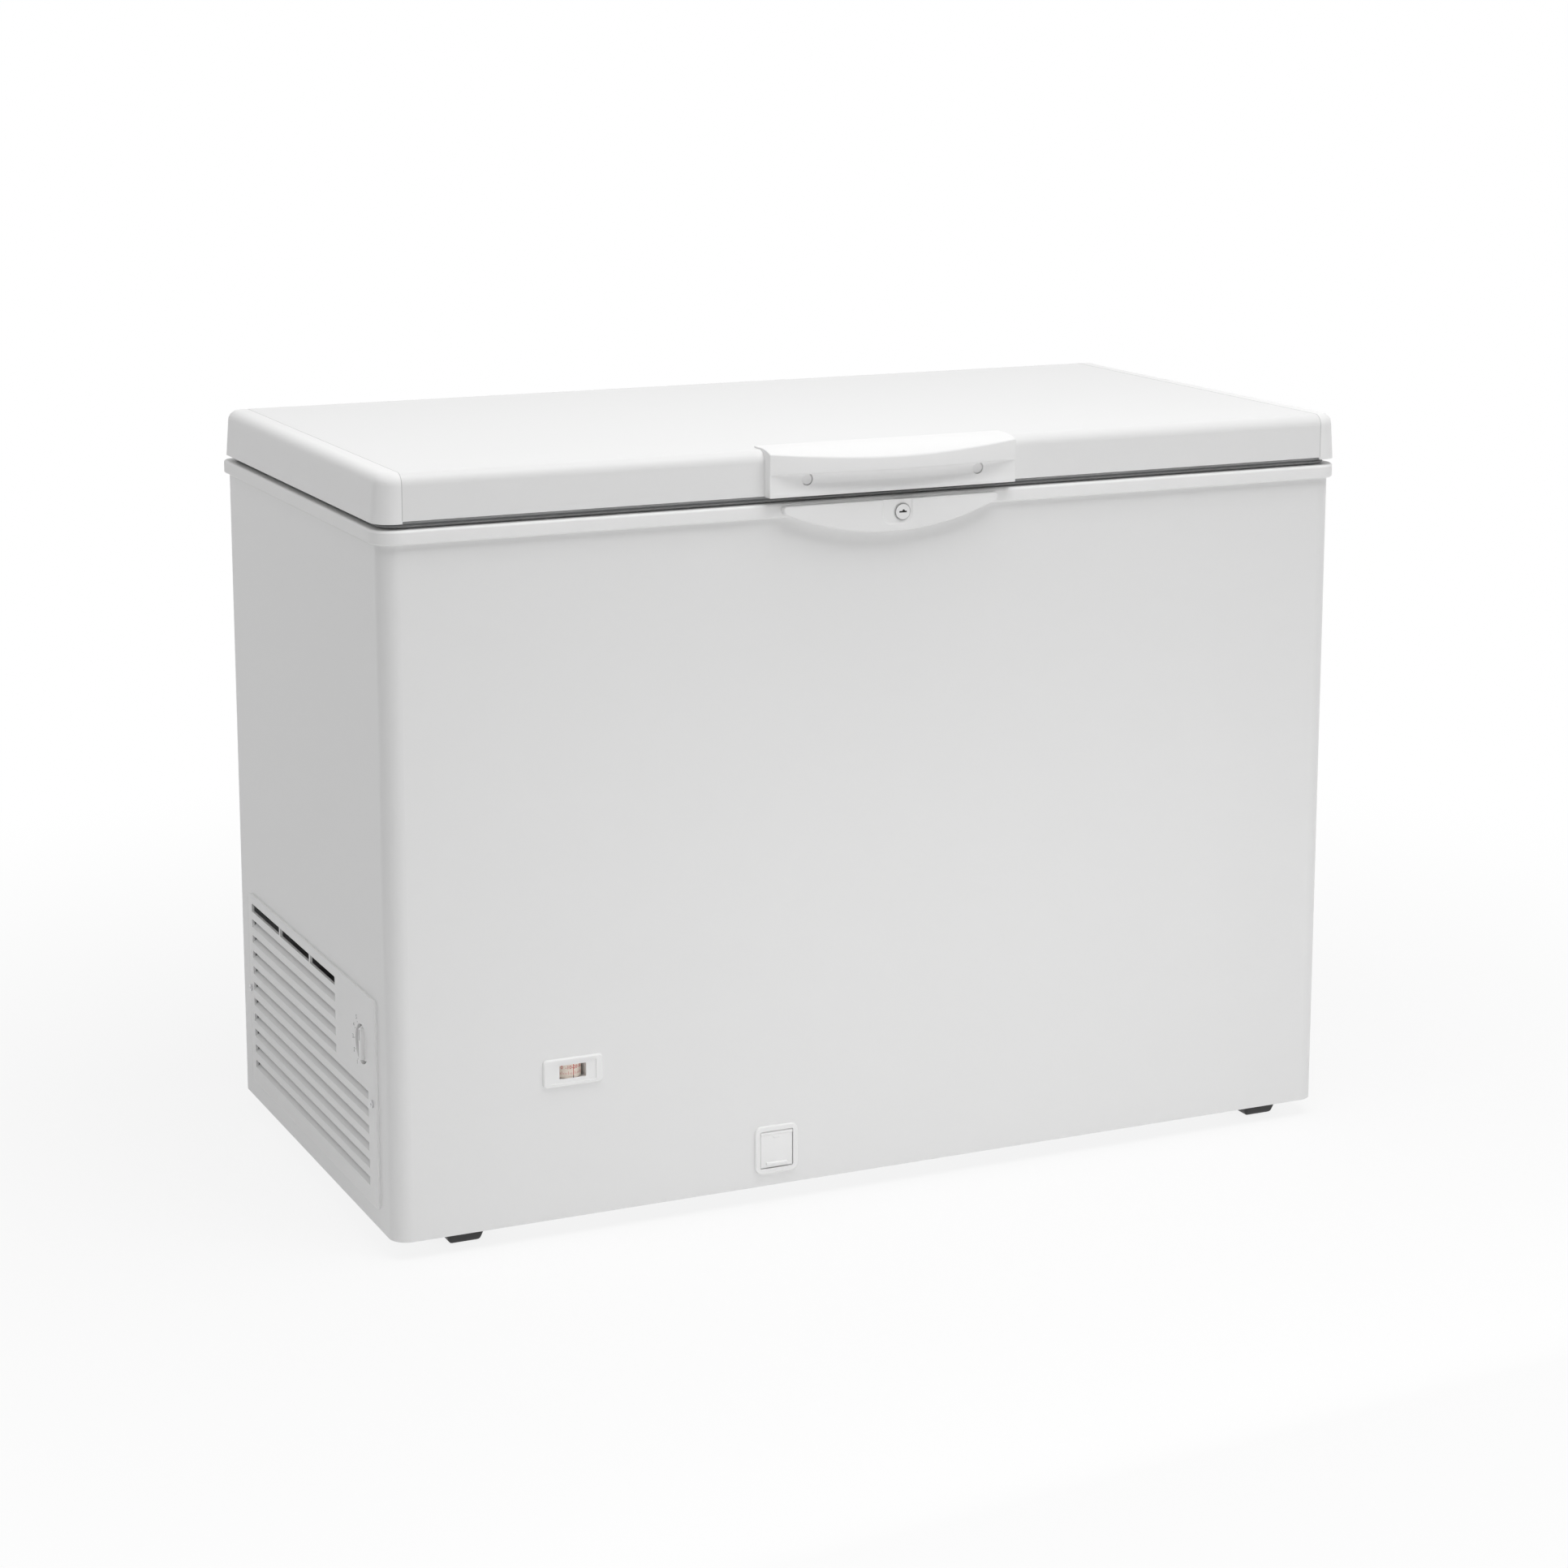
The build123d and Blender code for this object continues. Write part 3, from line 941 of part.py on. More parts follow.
def make_hinge(sign):
    """One sprung hinge: base box, pin, arm, plunger and spring."""
    middle = sign * HINGE_X
    x0 = middle - HINGE_W / 2
    x1 = middle + HINGE_W / 2
    rear = PIN_Y + HINGE_EAR_R
    inner0 = x0 + HINGE_EAR_T
    inner1 = x1 - HINGE_EAR_T
    base = block(x0, x1, REAR_FACE, rear + HINGE_EAR_T, HINGE_Z0, HINGE_Z1)
    base -= block(inner0, inner1, REAR_FACE + HINGE_EAR_T, rear, HINGE_Z0 + HINGE_EAR_T, HINGE_Z1 + OVERCUT)
    ear = block(x0, x1, PIN_Y - HINGE_EAR_R, rear, HINGE_Z1 - HINGE_EAR_R, PIN_Z)
    ear += rod((x0, PIN_Y, PIN_Z), (x1, PIN_Y, PIN_Z), HINGE_EAR_R)
    base += ear - block(inner0, inner1, PIN_Y - HINGE_HUB_R, rear + OVERCUT, HINGE_Z0, PIN_Z + HINGE_HUB_R)
    base -= rod((x0 - OVERCUT, PIN_Y, PIN_Z), (x1 + OVERCUT, PIN_Y, PIN_Z), HINGE_PIN_R)
    for seat in hinge_screw_seats():
        base -= screw_hole(seat, (0, -1, 0))
    pin = rod((x0, PIN_Y, PIN_Z), (x1, PIN_Y, PIN_Z), HINGE_PIN_R)
    arm0 = inner0 + HINGE_ARM_GAP
    arm1 = inner1 - HINGE_ARM_GAP
    arm = rod((arm0, PIN_Y, PIN_Z), (arm1, PIN_Y, PIN_Z), HINGE_HUB_R)
    hub_top = PIN_Z + HINGE_HUB_R
    arm += block(arm0, arm1, LID_Y1, PIN_Y, hub_top - HINGE_RIB_T, hub_top)
    arm += block(arm0, arm1, LID_Y1, LID_Y1 + HINGE_ARM_T, hub_top - HINGE_RIB_T, LID_Z0 + HINGE_ARM_UP)
    arm -= rod((x0, PIN_Y, PIN_Z), (x1, PIN_Y, PIN_Z), HINGE_PIN_R + HINGE_PIN_FIT)
    for seat in arm_screw_seats():
        arm -= screw_hole(seat, (0, -1, 0))
    plunger_top = PIN_Z - HINGE_HUB_R - LID_FIT
    plunger_low = plunger_top - HINGE_PLUNGER_H
    plunger = rod((middle, PIN_Y, plunger_low), (middle, PIN_Y, plunger_top), HINGE_PLUNGER_R)
    spring_low = HINGE_Z0 + HINGE_EAR_T
    spring_path = Helix(HINGE_SPRING_PITCH, plunger_low - spring_low - 2 * HINGE_WIRE_R, HINGE_SPRING_R)
    spring = sweep(Plane(spring_path @ 0, z_dir=spring_path % 0) * Circle(HINGE_WIRE_R), spring_path)
    spring = Pos(middle, PIN_Y, spring_low + HINGE_WIRE_R) * spring
    return {"hinge_base": base, "hinge_pin": pin, "hinge_arm": arm, "hinge_plunger": plunger,
            "hinge_spring": spring}


def make_thermometer():
    """Bezel, case, turning scale drum and spindle of the thermometer in the front."""
    cx = THERMOMETER_CX
    cz = THERMOMETER_CZ
    face = FRONT - THERMOMETER_T
    bezel = front_plate(cx, cz, THERMOMETER_W, THERMOMETER_H, THERMOMETER_R, face, FRONT)
    bezel = chamfer(bezel.faces().sort_by(Axis.Y)[0].edges(), THERMOMETER_STEP_DEEP)
    step = THERMOMETER_STEP
    bezel -= front_plate(cx, cz, THERMOMETER_W - 2 * step, THERMOMETER_H - step, THERMOMETER_R / 2,
                         face - OVERCUT, face + THERMOMETER_STEP_DEEP)
    bezel -= front_plate(cx, cz, WINDOW_W, WINDOW_H, THERMOMETER_R / 4, face - OVERCUT, FRONT + OVERCUT)
    half_w = HOUSING_W / 2
    half_h = HOUSING_H / 2
    case = block(cx - half_w, cx + half_w, FRONT, HOUSING_BACK, cz - half_h, cz + half_h)
    case -= block(cx - half_w + DRUM_CASE_T, cx + half_w - DRUM_CASE_T, FRONT - OVERCUT,
                  HOUSING_BACK - DRUM_CASE_T, cz - half_h + DRUM_CASE_T, cz + half_h - DRUM_CASE_T)
    spindle_ends = ((cx, DRUM_Y, cz - half_h), (cx, DRUM_Y, cz + half_h))
    case -= rod(*spindle_ends, DRUM_PIN_R)
    drum = rod((cx, DRUM_Y, cz - DRUM_H / 2), (cx, DRUM_Y, cz + DRUM_H / 2), DRUM_R)
    drum -= rod(*spindle_ends, DRUM_PIN_R + DRUM_FIT)
    return {"thermometer_bezel": bezel, "thermometer_case": case, "thermometer_drum": drum,
            "thermometer_spindle": rod(*spindle_ends, DRUM_PIN_R)}


def make_drain():
    """Drain outlet in the front with its swinging flap, the pipe from the tub and the tub's plug."""
    cx = DRAIN_CX
    cz = DRAIN_CZ
    face = FRONT - DRAIN_T
    frame = front_plate(cx, cz, DRAIN_W, DRAIN_H, DRAIN_R, face, FRONT)
    frame = chamfer(frame.faces().sort_by(Axis.Y)[0].edges(), DRAIN_T / 4)
    frame += front_plate(cx, cz, DRAIN_IN_W + 2 * DRAIN_WALL, DRAIN_IN_H + 2 * DRAIN_WALL, DRAIN_R / 2,
                         FRONT, FRONT + DRAIN_DEEP)
    frame -= front_plate(cx, cz, DRAIN_IN_W, DRAIN_IN_H, DRAIN_R / 4, face - OVERCUT,
                         FRONT + DRAIN_DEEP - DRAIN_WALL)
    frame -= rod((cx, FRONT, cz), (cx, FRONT + DRAIN_DEEP + OVERCUT, cz), DRAIN_PIPE_R - DRAIN_PIPE_T)
    pin_half = DRAIN_IN_W / 2 + DRAIN_WALL
    pin_ends = ((cx - pin_half, FLAP_AXIS_Y, FLAP_AXIS_Z), (cx + pin_half, FLAP_AXIS_Y, FLAP_AXIS_Z))
    frame -= rod(*pin_ends, FLAP_PIN_R)
    half = DRAIN_IN_W / 2 - FLAP_GAP
    flap_low = cz - DRAIN_IN_H / 2 + FLAP_GAP
    flap = block(cx - half, cx + half, face + FLAP_BARREL_R - FLAP_T / 2, face + FLAP_BARREL_R + FLAP_T / 2,
                 flap_low, FLAP_AXIS_Z)
    flap += rod((cx - half, FLAP_AXIS_Y, FLAP_AXIS_Z), (cx + half, FLAP_AXIS_Y, FLAP_AXIS_Z), FLAP_BARREL_R)
    ledge_z = flap_low + FLAP_LEDGE_H
    flap += block(cx - FLAP_LEDGE_W / 2, cx + FLAP_LEDGE_W / 2, face - FLAP_LEDGE_OUT, FLAP_AXIS_Y,
                  ledge_z, ledge_z + FLAP_LEDGE_H)
    flap -= rod(*pin_ends, FLAP_PIN_R + FLAP_PIN_FIT)
    tube = pipe(DRAIN_PIPE_POINTS, DRAIN_PIPE_R, DRAIN_PIPE_BEND_R)
    tube -= pipe(DRAIN_PIPE_POINTS, DRAIN_PIPE_R - DRAIN_PIPE_T, DRAIN_PIPE_BEND_R)
    stem_r = DRAIN_PIPE_R - DRAIN_PIPE_T - PLUG_FIT
    flange_top = TUB_FLOOR + PLUG_FLANGE_T
    plug = rod((cx, DRAIN_PIPE_Y, TUB_FLOOR), (cx, DRAIN_PIPE_Y, flange_top), PLUG_FLANGE_R)
    plug += rod((cx, DRAIN_PIPE_Y, TUB_FLOOR - PLUG_STEM_L), (cx, DRAIN_PIPE_Y, TUB_FLOOR), stem_r)
    plug += rod((cx, DRAIN_PIPE_Y, flange_top), (cx, DRAIN_PIPE_Y, flange_top + PLUG_KNOB_H), PLUG_KNOB_R)
    return {"drain_frame": frame, "drain_flap": flap, "drain_flap_pin": rod(*pin_ends, FLAP_PIN_R),
            "drain_pipe": tube, "drain_plug": plug}


def make_feet():
    """Four tapered feet and the screws that hold them."""
    pieces = {}
    screws = []
    for name, x, y in foot_centres():
        top = Pos(x, y, FOOT_H) * RectangleRounded(FOOT_TOP, FOOT_TOP, FOOT_R)
        bottom = Pos(x, y, 0) * RectangleRounded(FOOT_BOTTOM, FOOT_BOTTOM, FOOT_R)
        foot = loft([bottom, top])
        seat_z = FOOT_H / 2
        centre = x + FOOT_SCREW_SIDE
        foot -= rod((centre, y, -OVERCUT), (centre, y, seat_z), FOOT_SCREW_HEAD_R + SCREW_FIT)
        foot -= rod((centre, y, -OVERCUT), (centre, y, FOOT_H + OVERCUT), FOOT_SCREW_R + SCREW_FIT)
        pieces[name] = foot
        screws.append(screw((centre, y, seat_z), (0, 0, 1), FOOT_H - seat_z + FOOT_SCREW_UP, FOOT_SCREW_R,
                            FOOT_SCREW_HEAD_R, FOOT_SCREW_HEAD_H))
    pieces["foot_screws"] = Compound(children=screws)
    return pieces


def make_cable_gland():
    """Bushing in the back through which the supply lead goes to the compressor."""
    end_y = REAR_FACE + GLAND_OUT
    gland = rod((GLAND_X, BAY_Y1, GLAND_Z), (GLAND_X, end_y, GLAND_Z), GLAND_R)
    gland += rod((GLAND_X, REAR_FACE, GLAND_Z), (GLAND_X, REAR_FACE + GLAND_FLANGE_T, GLAND_Z),
                 GLAND_FLANGE_R)
    return gland - rod((GLAND_X, BAY_Y1 - OVERCUT, GLAND_Z), (GLAND_X, end_y + OVERCUT, GLAND_Z), GLAND_BORE_R)


def make_parts():
    """Every piece of the freezer under its node name."""
    parts = {"cabinet_wrap": make_cabinet_wrap(), "rear_panel": make_rear_panel(),
             "base_plate": make_base_plate(), "inner_liner": make_inner_liner(),
             "cabinet_foam": make_cabinet_foam(), "rim_collar": make_rim_collar(),
             "compressor_bay": make_compressor_bay(), "grille_panel": make_grille_panel(),
             "cable_gland": make_cable_gland()}
    for pieces in (make_coils(), make_compressor(), make_pipes(), make_thermostat(), make_lid_shell(),
                   make_lid_lining(), make_handle(), make_lock(), make_thermometer(), make_drain(),
                   make_feet()):
        parts.update(pieces)
    for name, sign in sides():
        for piece, shape in make_hinge(sign).items():
            parts[piece + "_" + name] = shape
    parts["grille_screws"] = Compound(children=[screw(seat, (1, 0, 0)) for seat in grille_screw_seats()])
    parts["hinge_base_screws"] = Compound(children=[screw(seat, (0, -1, 0)) for seat in hinge_screw_seats()])
    parts["hinge_arm_screws"] = Compound(children=[screw(seat, (0, -1, 0)) for seat in arm_screw_seats()])
    return parts


os.makedirs("parts", exist_ok=True)
for node, shape in make_parts().items():
    export_step(shape, "parts/" + node + ".step")
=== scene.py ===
"""Looks of a white chest freezer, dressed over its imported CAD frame."""

import logging
import math
from dataclasses import dataclass
from enum import Enum
from typing import Callable, Sequence

import bmesh
import bpy
from mathutils import Matrix, Vector


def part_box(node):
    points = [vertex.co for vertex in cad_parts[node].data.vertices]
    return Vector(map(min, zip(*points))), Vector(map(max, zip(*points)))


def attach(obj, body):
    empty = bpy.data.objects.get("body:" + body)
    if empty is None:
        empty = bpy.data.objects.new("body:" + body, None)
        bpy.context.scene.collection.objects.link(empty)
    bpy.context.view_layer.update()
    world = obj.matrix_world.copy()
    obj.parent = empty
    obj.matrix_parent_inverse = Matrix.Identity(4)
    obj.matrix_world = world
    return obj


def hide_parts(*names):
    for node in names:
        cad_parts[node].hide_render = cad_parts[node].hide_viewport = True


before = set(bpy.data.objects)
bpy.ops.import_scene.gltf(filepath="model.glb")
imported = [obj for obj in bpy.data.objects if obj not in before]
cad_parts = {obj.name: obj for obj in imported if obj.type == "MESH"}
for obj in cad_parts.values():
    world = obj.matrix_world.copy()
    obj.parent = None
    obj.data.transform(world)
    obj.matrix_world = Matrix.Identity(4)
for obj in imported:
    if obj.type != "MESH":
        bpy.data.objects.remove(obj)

LOG = logging.getLogger("chest_freezer")
MM = 0.001
Colour = tuple[float, float, float]
Flat = tuple[float, float]
Ring = list[Vector]


class Body(Enum):
    """Bodies of the frame that a piece can ride on."""

    CABINET = "cabinet"
    LID = "lid"
    KNOB = "knob"
    LOCK = "lock"
    FLAP = "flap"
    DRUM = "drum"


class Kind(Enum):
    """Elements of a mesh that can be picked in edit mode."""

    POINT = "VERT"
    EDGE = "EDGE"
    FACE = "FACE"


class Facing(Enum):
    """Side of the freezer that lettering looks to."""

    FRONT = "front"
    LEFT = "left"

    def turn(self) -> Matrix:
        """Rotation from the drawing plane to this side."""
        if self is Facing.FRONT:
            return Matrix(((1, 0, 0), (0, 0, -1), (0, 1, 0))).to_4x4()
        return Matrix(((0, 0, -1), (-1, 0, 0), (0, 1, 0))).to_4x4()


class Pattern(Enum):
    """Fine relief that a surface carries."""

    GRAIN = "grain"
    SPANGLE = "spangle"
    BRUSHED = "brushed"
    STUCCO = "stucco"


@dataclass(frozen=True)
class Finish:
    """One procedural finish, read on object coordinates.

    Args:
        name: name of the material.
        colour: main colour.
        shade: colour of the slightly different patches.
        roughness: mean roughness.
        spread: how far the roughness strays from its mean.
        patch: size of the colour patches in metres.
        grain: size of the fine relief in metres.
        relief: height of the fine relief in metres.
        metallic: whether it is bare metal, from 0 to 1.
        coat: strength of a clear coat.
        pattern: kind of fine relief.
    """

    name: str
    colour: Colour
    shade: Colour
    roughness: float
    spread: float
    patch: float
    grain: float
    relief: float
    metallic: float = 0.0
    coat: float = 0.0
    pattern: Pattern = Pattern.GRAIN

    def material(self) -> bpy.types.Material:
        """Build the finish once.

        Returns:
            The material with this finish's name.
        """
        label = self.name + "_finish"
        made = bpy.data.materials.get(label)
        if made:
            return made
        made = bpy.data.materials.new(label)
        made.use_nodes = True
        made.diffuse_color = (*self.colour, 1.0)
        tree = made.node_tree
        shader = tree.nodes["Principled BSDF"]
        shader.inputs["Metallic"].default_value = self.metallic
        shader.inputs["Coat Weight"].default_value = self.coat
        place = tree.nodes.new("ShaderNodeTexCoord").outputs["Object"]
        patches = self.noise(tree, place, self.patch, 3.0)
        blend = tree.nodes.new("ShaderNodeMix")
        blend.data_type = "RGBA"
        tree.links.new(patches.outputs["Fac"], blend.inputs["Factor"])
        blend.inputs["A"].default_value = (*self.colour, 1.0)
        blend.inputs["B"].default_value = (*self.shade, 1.0)
        tree.links.new(blend.outputs["Result"], shader.inputs["Base Color"])
        height = self.height(tree, place)
        spread = tree.nodes.new("ShaderNodeMapRange")
        tree.links.new(height, spread.inputs["Value"])
        spread.inputs["To Min"].default_value = self.roughness - self.spread
        spread.inputs["To Max"].default_value = self.roughness + self.spread
        tree.links.new(spread.outputs["Result"], shader.inputs["Roughness"])
        bump = tree.nodes.new("ShaderNodeBump")
        bump.inputs["Strength"].default_value = 1.0
        bump.inputs["Distance"].default_value = self.relief
        tree.links.new(height, bump.inputs["Height"])
        tree.links.new(bump.outputs["Normal"], shader.inputs["Normal"])
        return made

    @staticmethod
    def noise(tree: bpy.types.NodeTree, place: bpy.types.NodeSocket, size: float,
              detail: float) -> bpy.types.Node:
        """Noise whose patches have a given size.

        Args:
            tree: node tree of the material.
            place: coordinates to read.
            size: size of one patch in metres.
            detail: levels of finer noise.

        Returns:
            The noise node.
        """
        node = tree.nodes.new("ShaderNodeTexNoise")
        node.inputs["Scale"].default_value = 1.0 / size
        node.inputs["Detail"].default_value = detail
        tree.links.new(place, node.inputs["Vector"])
        return node

    def height(self, tree: bpy.types.NodeTree, place: bpy.types.NodeSocket) -> bpy.types.NodeSocket:
        """Height of the fine relief.

        Args:
            tree: node tree of the material.
            place: coordinates to read.

        Returns:
            The socket that carries the height, from 0 to 1.
        """
        if self.pattern is Pattern.GRAIN:
            return self.noise(tree, place, self.grain, 2.0).outputs["Fac"]
        if self.pattern is Pattern.BRUSHED:
            stretch = tree.nodes.new("ShaderNodeMapping")
            stretch.inputs["Scale"].default_value = (0.04, 1.0, 1.0)
            tree.links.new(place, stretch.inputs["Vector"])
            return self.noise(tree, stretch.outputs["Vector"], self.grain, 2.0).outputs["Fac"]
        cells = tree.nodes.new("ShaderNodeTexVoronoi")
        cells.inputs["Scale"].default_value = 1.0 / self.grain
        tree.links.new(place, cells.inputs["Vector"])
        if self.pattern is Pattern.STUCCO:
            return cells.outputs["Distance"]
        tone = tree.nodes.new("ShaderNodeSeparateColor")
        tree.links.new(cells.outputs["Color"], tone.inputs["Color"])
        return tone.outputs["Red"]

    def dress(self, *pieces: bpy.types.Object) -> None:
        """Give pieces this finish."""
        for piece in pieces:
            piece.data.materials.clear()
            piece.data.materials.append(self.material())

    def dress_nodes(self, *names: str) -> None:
        """Give nodes of the frame this finish."""
        self.dress(*[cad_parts[name] for name in names])


CABINET_PAINT = Finish("cabinet_paint", (0.87, 0.87, 0.868), (0.855, 0.855, 0.853), 0.38, 0.04, 0.35, 0.0016,
                       0.000012, coat=0.15)
LID_PAINT = Finish("lid_paint", (0.85, 0.85, 0.848), (0.835, 0.835, 0.833), 0.36, 0.04, 0.3, 0.0016,
                   0.00001, coat=0.15)
WHITE_PLASTIC = Finish("white_plastic", (0.925, 0.924, 0.921), (0.905, 0.904, 0.901), 0.42, 0.05, 0.05,
                       0.0007, 0.000012)
HANDLE_PLASTIC = Finish("handle_plastic", (0.92, 0.919, 0.917), (0.90, 0.899, 0.897), 0.4, 0.05, 0.06, 0.0007,
                        0.00001)
SEAL_GREY = Finish("seal_grey", (0.46, 0.465, 0.47), (0.41, 0.415, 0.42), 0.62, 0.06, 0.03, 0.0012, 0.00003)
TUB_LINING = Finish("tub_lining", (0.80, 0.81, 0.815), (0.77, 0.78, 0.79), 0.36, 0.05, 0.25, 0.006, 0.00012,
                    pattern=Pattern.STUCCO)
ZINC = Finish("zinc_sheet", (0.60, 0.61, 0.62), (0.53, 0.54, 0.55), 0.42, 0.1, 0.06, 0.014, 0.00001,
              metallic=1.0, pattern=Pattern.SPANGLE)
BRIGHT_STEEL = Finish("bright_steel", (0.74, 0.74, 0.75), (0.68, 0.68, 0.69), 0.2, 0.05, 0.02, 0.0006,
                      0.000004, metallic=1.0, pattern=Pattern.BRUSHED)
BARREL_NICKEL = Finish("barrel_nickel", (0.80, 0.80, 0.80), (0.72, 0.72, 0.72), 0.38, 0.06, 0.006, 0.0004,
                       0.000006, metallic=0.55)
SCREW_STEEL = Finish("screw_steel", (0.68, 0.68, 0.69), (0.60, 0.60, 0.61), 0.32, 0.06, 0.006, 0.0005,
                     0.000008, metallic=1.0)
FOAM = Finish("rigid_foam", (0.86, 0.79, 0.55), (0.80, 0.72, 0.48), 0.9, 0.05, 0.04, 0.0025, 0.0003)
BLACK_PLASTIC = Finish("black_plastic", (0.018, 0.018, 0.019), (0.03, 0.03, 0.031), 0.5, 0.08, 0.02, 0.0008,
                       0.00003)
BLACK_PAINT = Finish("black_paint", (0.015, 0.015, 0.016), (0.022, 0.022, 0.023), 0.35, 0.06, 0.05, 0.001,
                     0.00001, coat=0.2)
COPPER = Finish("copper_tube", (0.76, 0.40, 0.26), (0.62, 0.31, 0.20), 0.34, 0.08, 0.02, 0.001, 0.00001,
                metallic=1.0)
BLACK_RUBBER = Finish("black_rubber", (0.03, 0.03, 0.03), (0.045, 0.045, 0.045), 0.75, 0.08, 0.01, 0.0008,
                      0.00003)
SCALE_CREAM = Finish("scale_cream", (0.93, 0.84, 0.75), (0.90, 0.79, 0.69), 0.5, 0.05, 0.008, 0.0006,
                     0.000004)
RED_INK = Finish("red_ink", (0.62, 0.06, 0.05), (0.55, 0.04, 0.04), 0.5, 0.05, 0.003, 0.0004, 0.000002)
DARK_INK = Finish("dark_ink", (0.10, 0.10, 0.105), (0.14, 0.14, 0.145), 0.55, 0.05, 0.003, 0.0004, 0.000002)
SEAM_SHADE = Finish("seam_shade", (0.58, 0.58, 0.58), (0.52, 0.52, 0.52), 0.6, 0.05, 0.02, 0.0006, 0.000004)
# Painted shade: near-black finish for the piece that stands in for the shade inside the keyhole.
KEYHOLE_SHADE = Finish("keyhole_shade", (0.01, 0.01, 0.01), (0.02, 0.02, 0.02), 0.6, 0.05, 0.002, 0.0004,
                       0.000004)


class Bench:
    """Bench tools that shape pieces with Blender's own operators."""

    @staticmethod
    def clear() -> None:
        """Leave edit mode and deselect everything."""
        if bpy.context.object and bpy.context.object.mode != "OBJECT":
            bpy.ops.object.mode_set(mode="OBJECT")
        bpy.ops.object.select_all(action="DESELECT")

    @staticmethod
    def take(piece: bpy.types.Object) -> None:
        """Select one piece alone and make it active."""
        Bench.clear()
        piece.select_set(True)
        bpy.context.view_layer.objects.active = piece

    @staticmethod
    def pick(piece: bpy.types.Object, kind: Kind, test: Callable) -> None:
        """Select the elements of a piece in edit mode that pass a test.

        Args:
            piece: the piece, already in edit mode.
            kind: points, edges or faces.
            test: says of one element whether it is wanted.
        """
        bpy.ops.mesh.select_mode(type=kind.value)
        bpy.ops.mesh.select_all(action="DESELECT")
        mesh = bmesh.from_edit_mesh(piece.data)
        mesh.verts.index_update()
        group = {Kind.POINT: mesh.verts, Kind.EDGE: mesh.edges, Kind.FACE: mesh.faces}[kind]
        for element in group:
            element.select_set(bool(test(element)))
        mesh.select_flush_mode()
        bmesh.update_edit_mesh(piece.data)

    @staticmethod
    def loft(name: str, rings: Sequence[Ring], joined: bool = False) -> bpy.types.Object:
        """Draw a skin over a row of loops that have the same number of points.

        Args:
            name: name of the piece.
            rings: the loops, in order.
            joined: whether the last loop meets the first; if not, both ends are closed with a face.

        Returns:
            The new piece.
        """
        Bench.clear()
        around = len(rings[0])
        rows = [*rings, rings[0]] if joined else list(rings)
        bpy.ops.mesh.primitive_grid_add(x_subdivisions=around, y_subdivisions=len(rows) - 1)
        piece = bpy.context.object
        piece.name = name
        width = around + 1
        for row, ring in enumerate(rows):
            for column in range(width):
                piece.data.vertices[row * width + column].co = ring[column % around]
        bpy.ops.object.mode_set(mode="EDIT")
        if not joined:
            for first in (0, (len(rows) - 1) * width):
                Bench.pick(piece, Kind.POINT, lambda point: first <= point.index < first + width)
                bpy.ops.mesh.edge_face_add()
        bpy.ops.mesh.select_all(action="SELECT")
        bpy.ops.mesh.remove_doubles(threshold=1e-7)
        bpy.ops.mesh.normals_make_consistent(inside=False)
        bpy.ops.object.mode_set(mode="OBJECT")
        return piece

    @staticmethod
    def slab(name: str, low: Vector, high: Vector, edge: float = 0.0, steps: int = 2) -> bpy.types.Object:
        """Box between two corners with its edges rounded.

        Args:
            name: name of the piece.
            low: lowest corner.
            high: highest corner.
            edge: radius of the edges.
            steps: steps of the rounding.

        Returns:
            The new piece.
        """
        Bench.clear()
        bpy.ops.mesh.primitive_cube_add(size=1.0, location=(low + high) / 2, scale=high - low)
        piece = bpy.context.object
        piece.name = name
        bpy.ops.object.transform_apply(location=True, rotation=True, scale=True)
        if edge:
            Bench.soften(piece, edge, steps, lambda line: True)
        return piece

    @staticmethod
    def bar(name: str, start: Vector, end: Vector, radius: float, sides: int = 48) -> bpy.types.Object:
        """Round bar between two points.

        Args:
            name: name of the piece.
            start: middle of the first end.
            end: middle of the other end.
            radius: radius of the bar.
            sides: number of its sides.

        Returns:
            The new piece.
        """
        Bench.clear()
        run = end - start
        bpy.ops.mesh.primitive_cylinder_add(vertices=sides, radius=radius, depth=run.length,
                                            location=(start + end) / 2,
                                            rotation=run.to_track_quat("Z", "Y").to_euler())
        piece = bpy.context.object
        piece.name = name
        bpy.ops.object.transform_apply(location=True, rotation=True, scale=True)
        return piece

    @staticmethod
    def soften(piece: bpy.types.Object, width: float, steps: int, test: Callable) -> None:
        """Round the edges of a piece that pass a test.

        Args:
            piece: the piece.
            width: width of the rounding.
            steps: steps of the rounding.
            test: says of one edge whether it is rounded.
        """
        Bench.take(piece)
        bpy.ops.object.mode_set(mode="EDIT")
        Bench.pick(piece, Kind.EDGE, test)
        bpy.ops.mesh.bevel(offset=width, segments=steps, profile=0.5, affect="EDGES", clamp_overlap=True)
        bpy.ops.object.mode_set(mode="OBJECT")

    @staticmethod
    def cut(piece: bpy.types.Object, *cutters: bpy.types.Object) -> None:
        """Take other pieces out of one piece and drop them."""
        for cutter in cutters:
            Bench.take(piece)
            step = piece.modifiers.new("cut", "BOOLEAN")
            step.operation = "DIFFERENCE"
            step.solver = "EXACT"
            step.object = cutter
            bpy.ops.object.modifier_apply(modifier=step.name)
            bpy.data.objects.remove(cutter, do_unlink=True)

    @staticmethod
    def join(*pieces: bpy.types.Object) -> bpy.types.Object:
        """Join pieces into the first one."""
        Bench.take(pieces[0])
        for piece in pieces:
            piece.select_set(True)
        bpy.ops.object.join()
        return pieces[0]

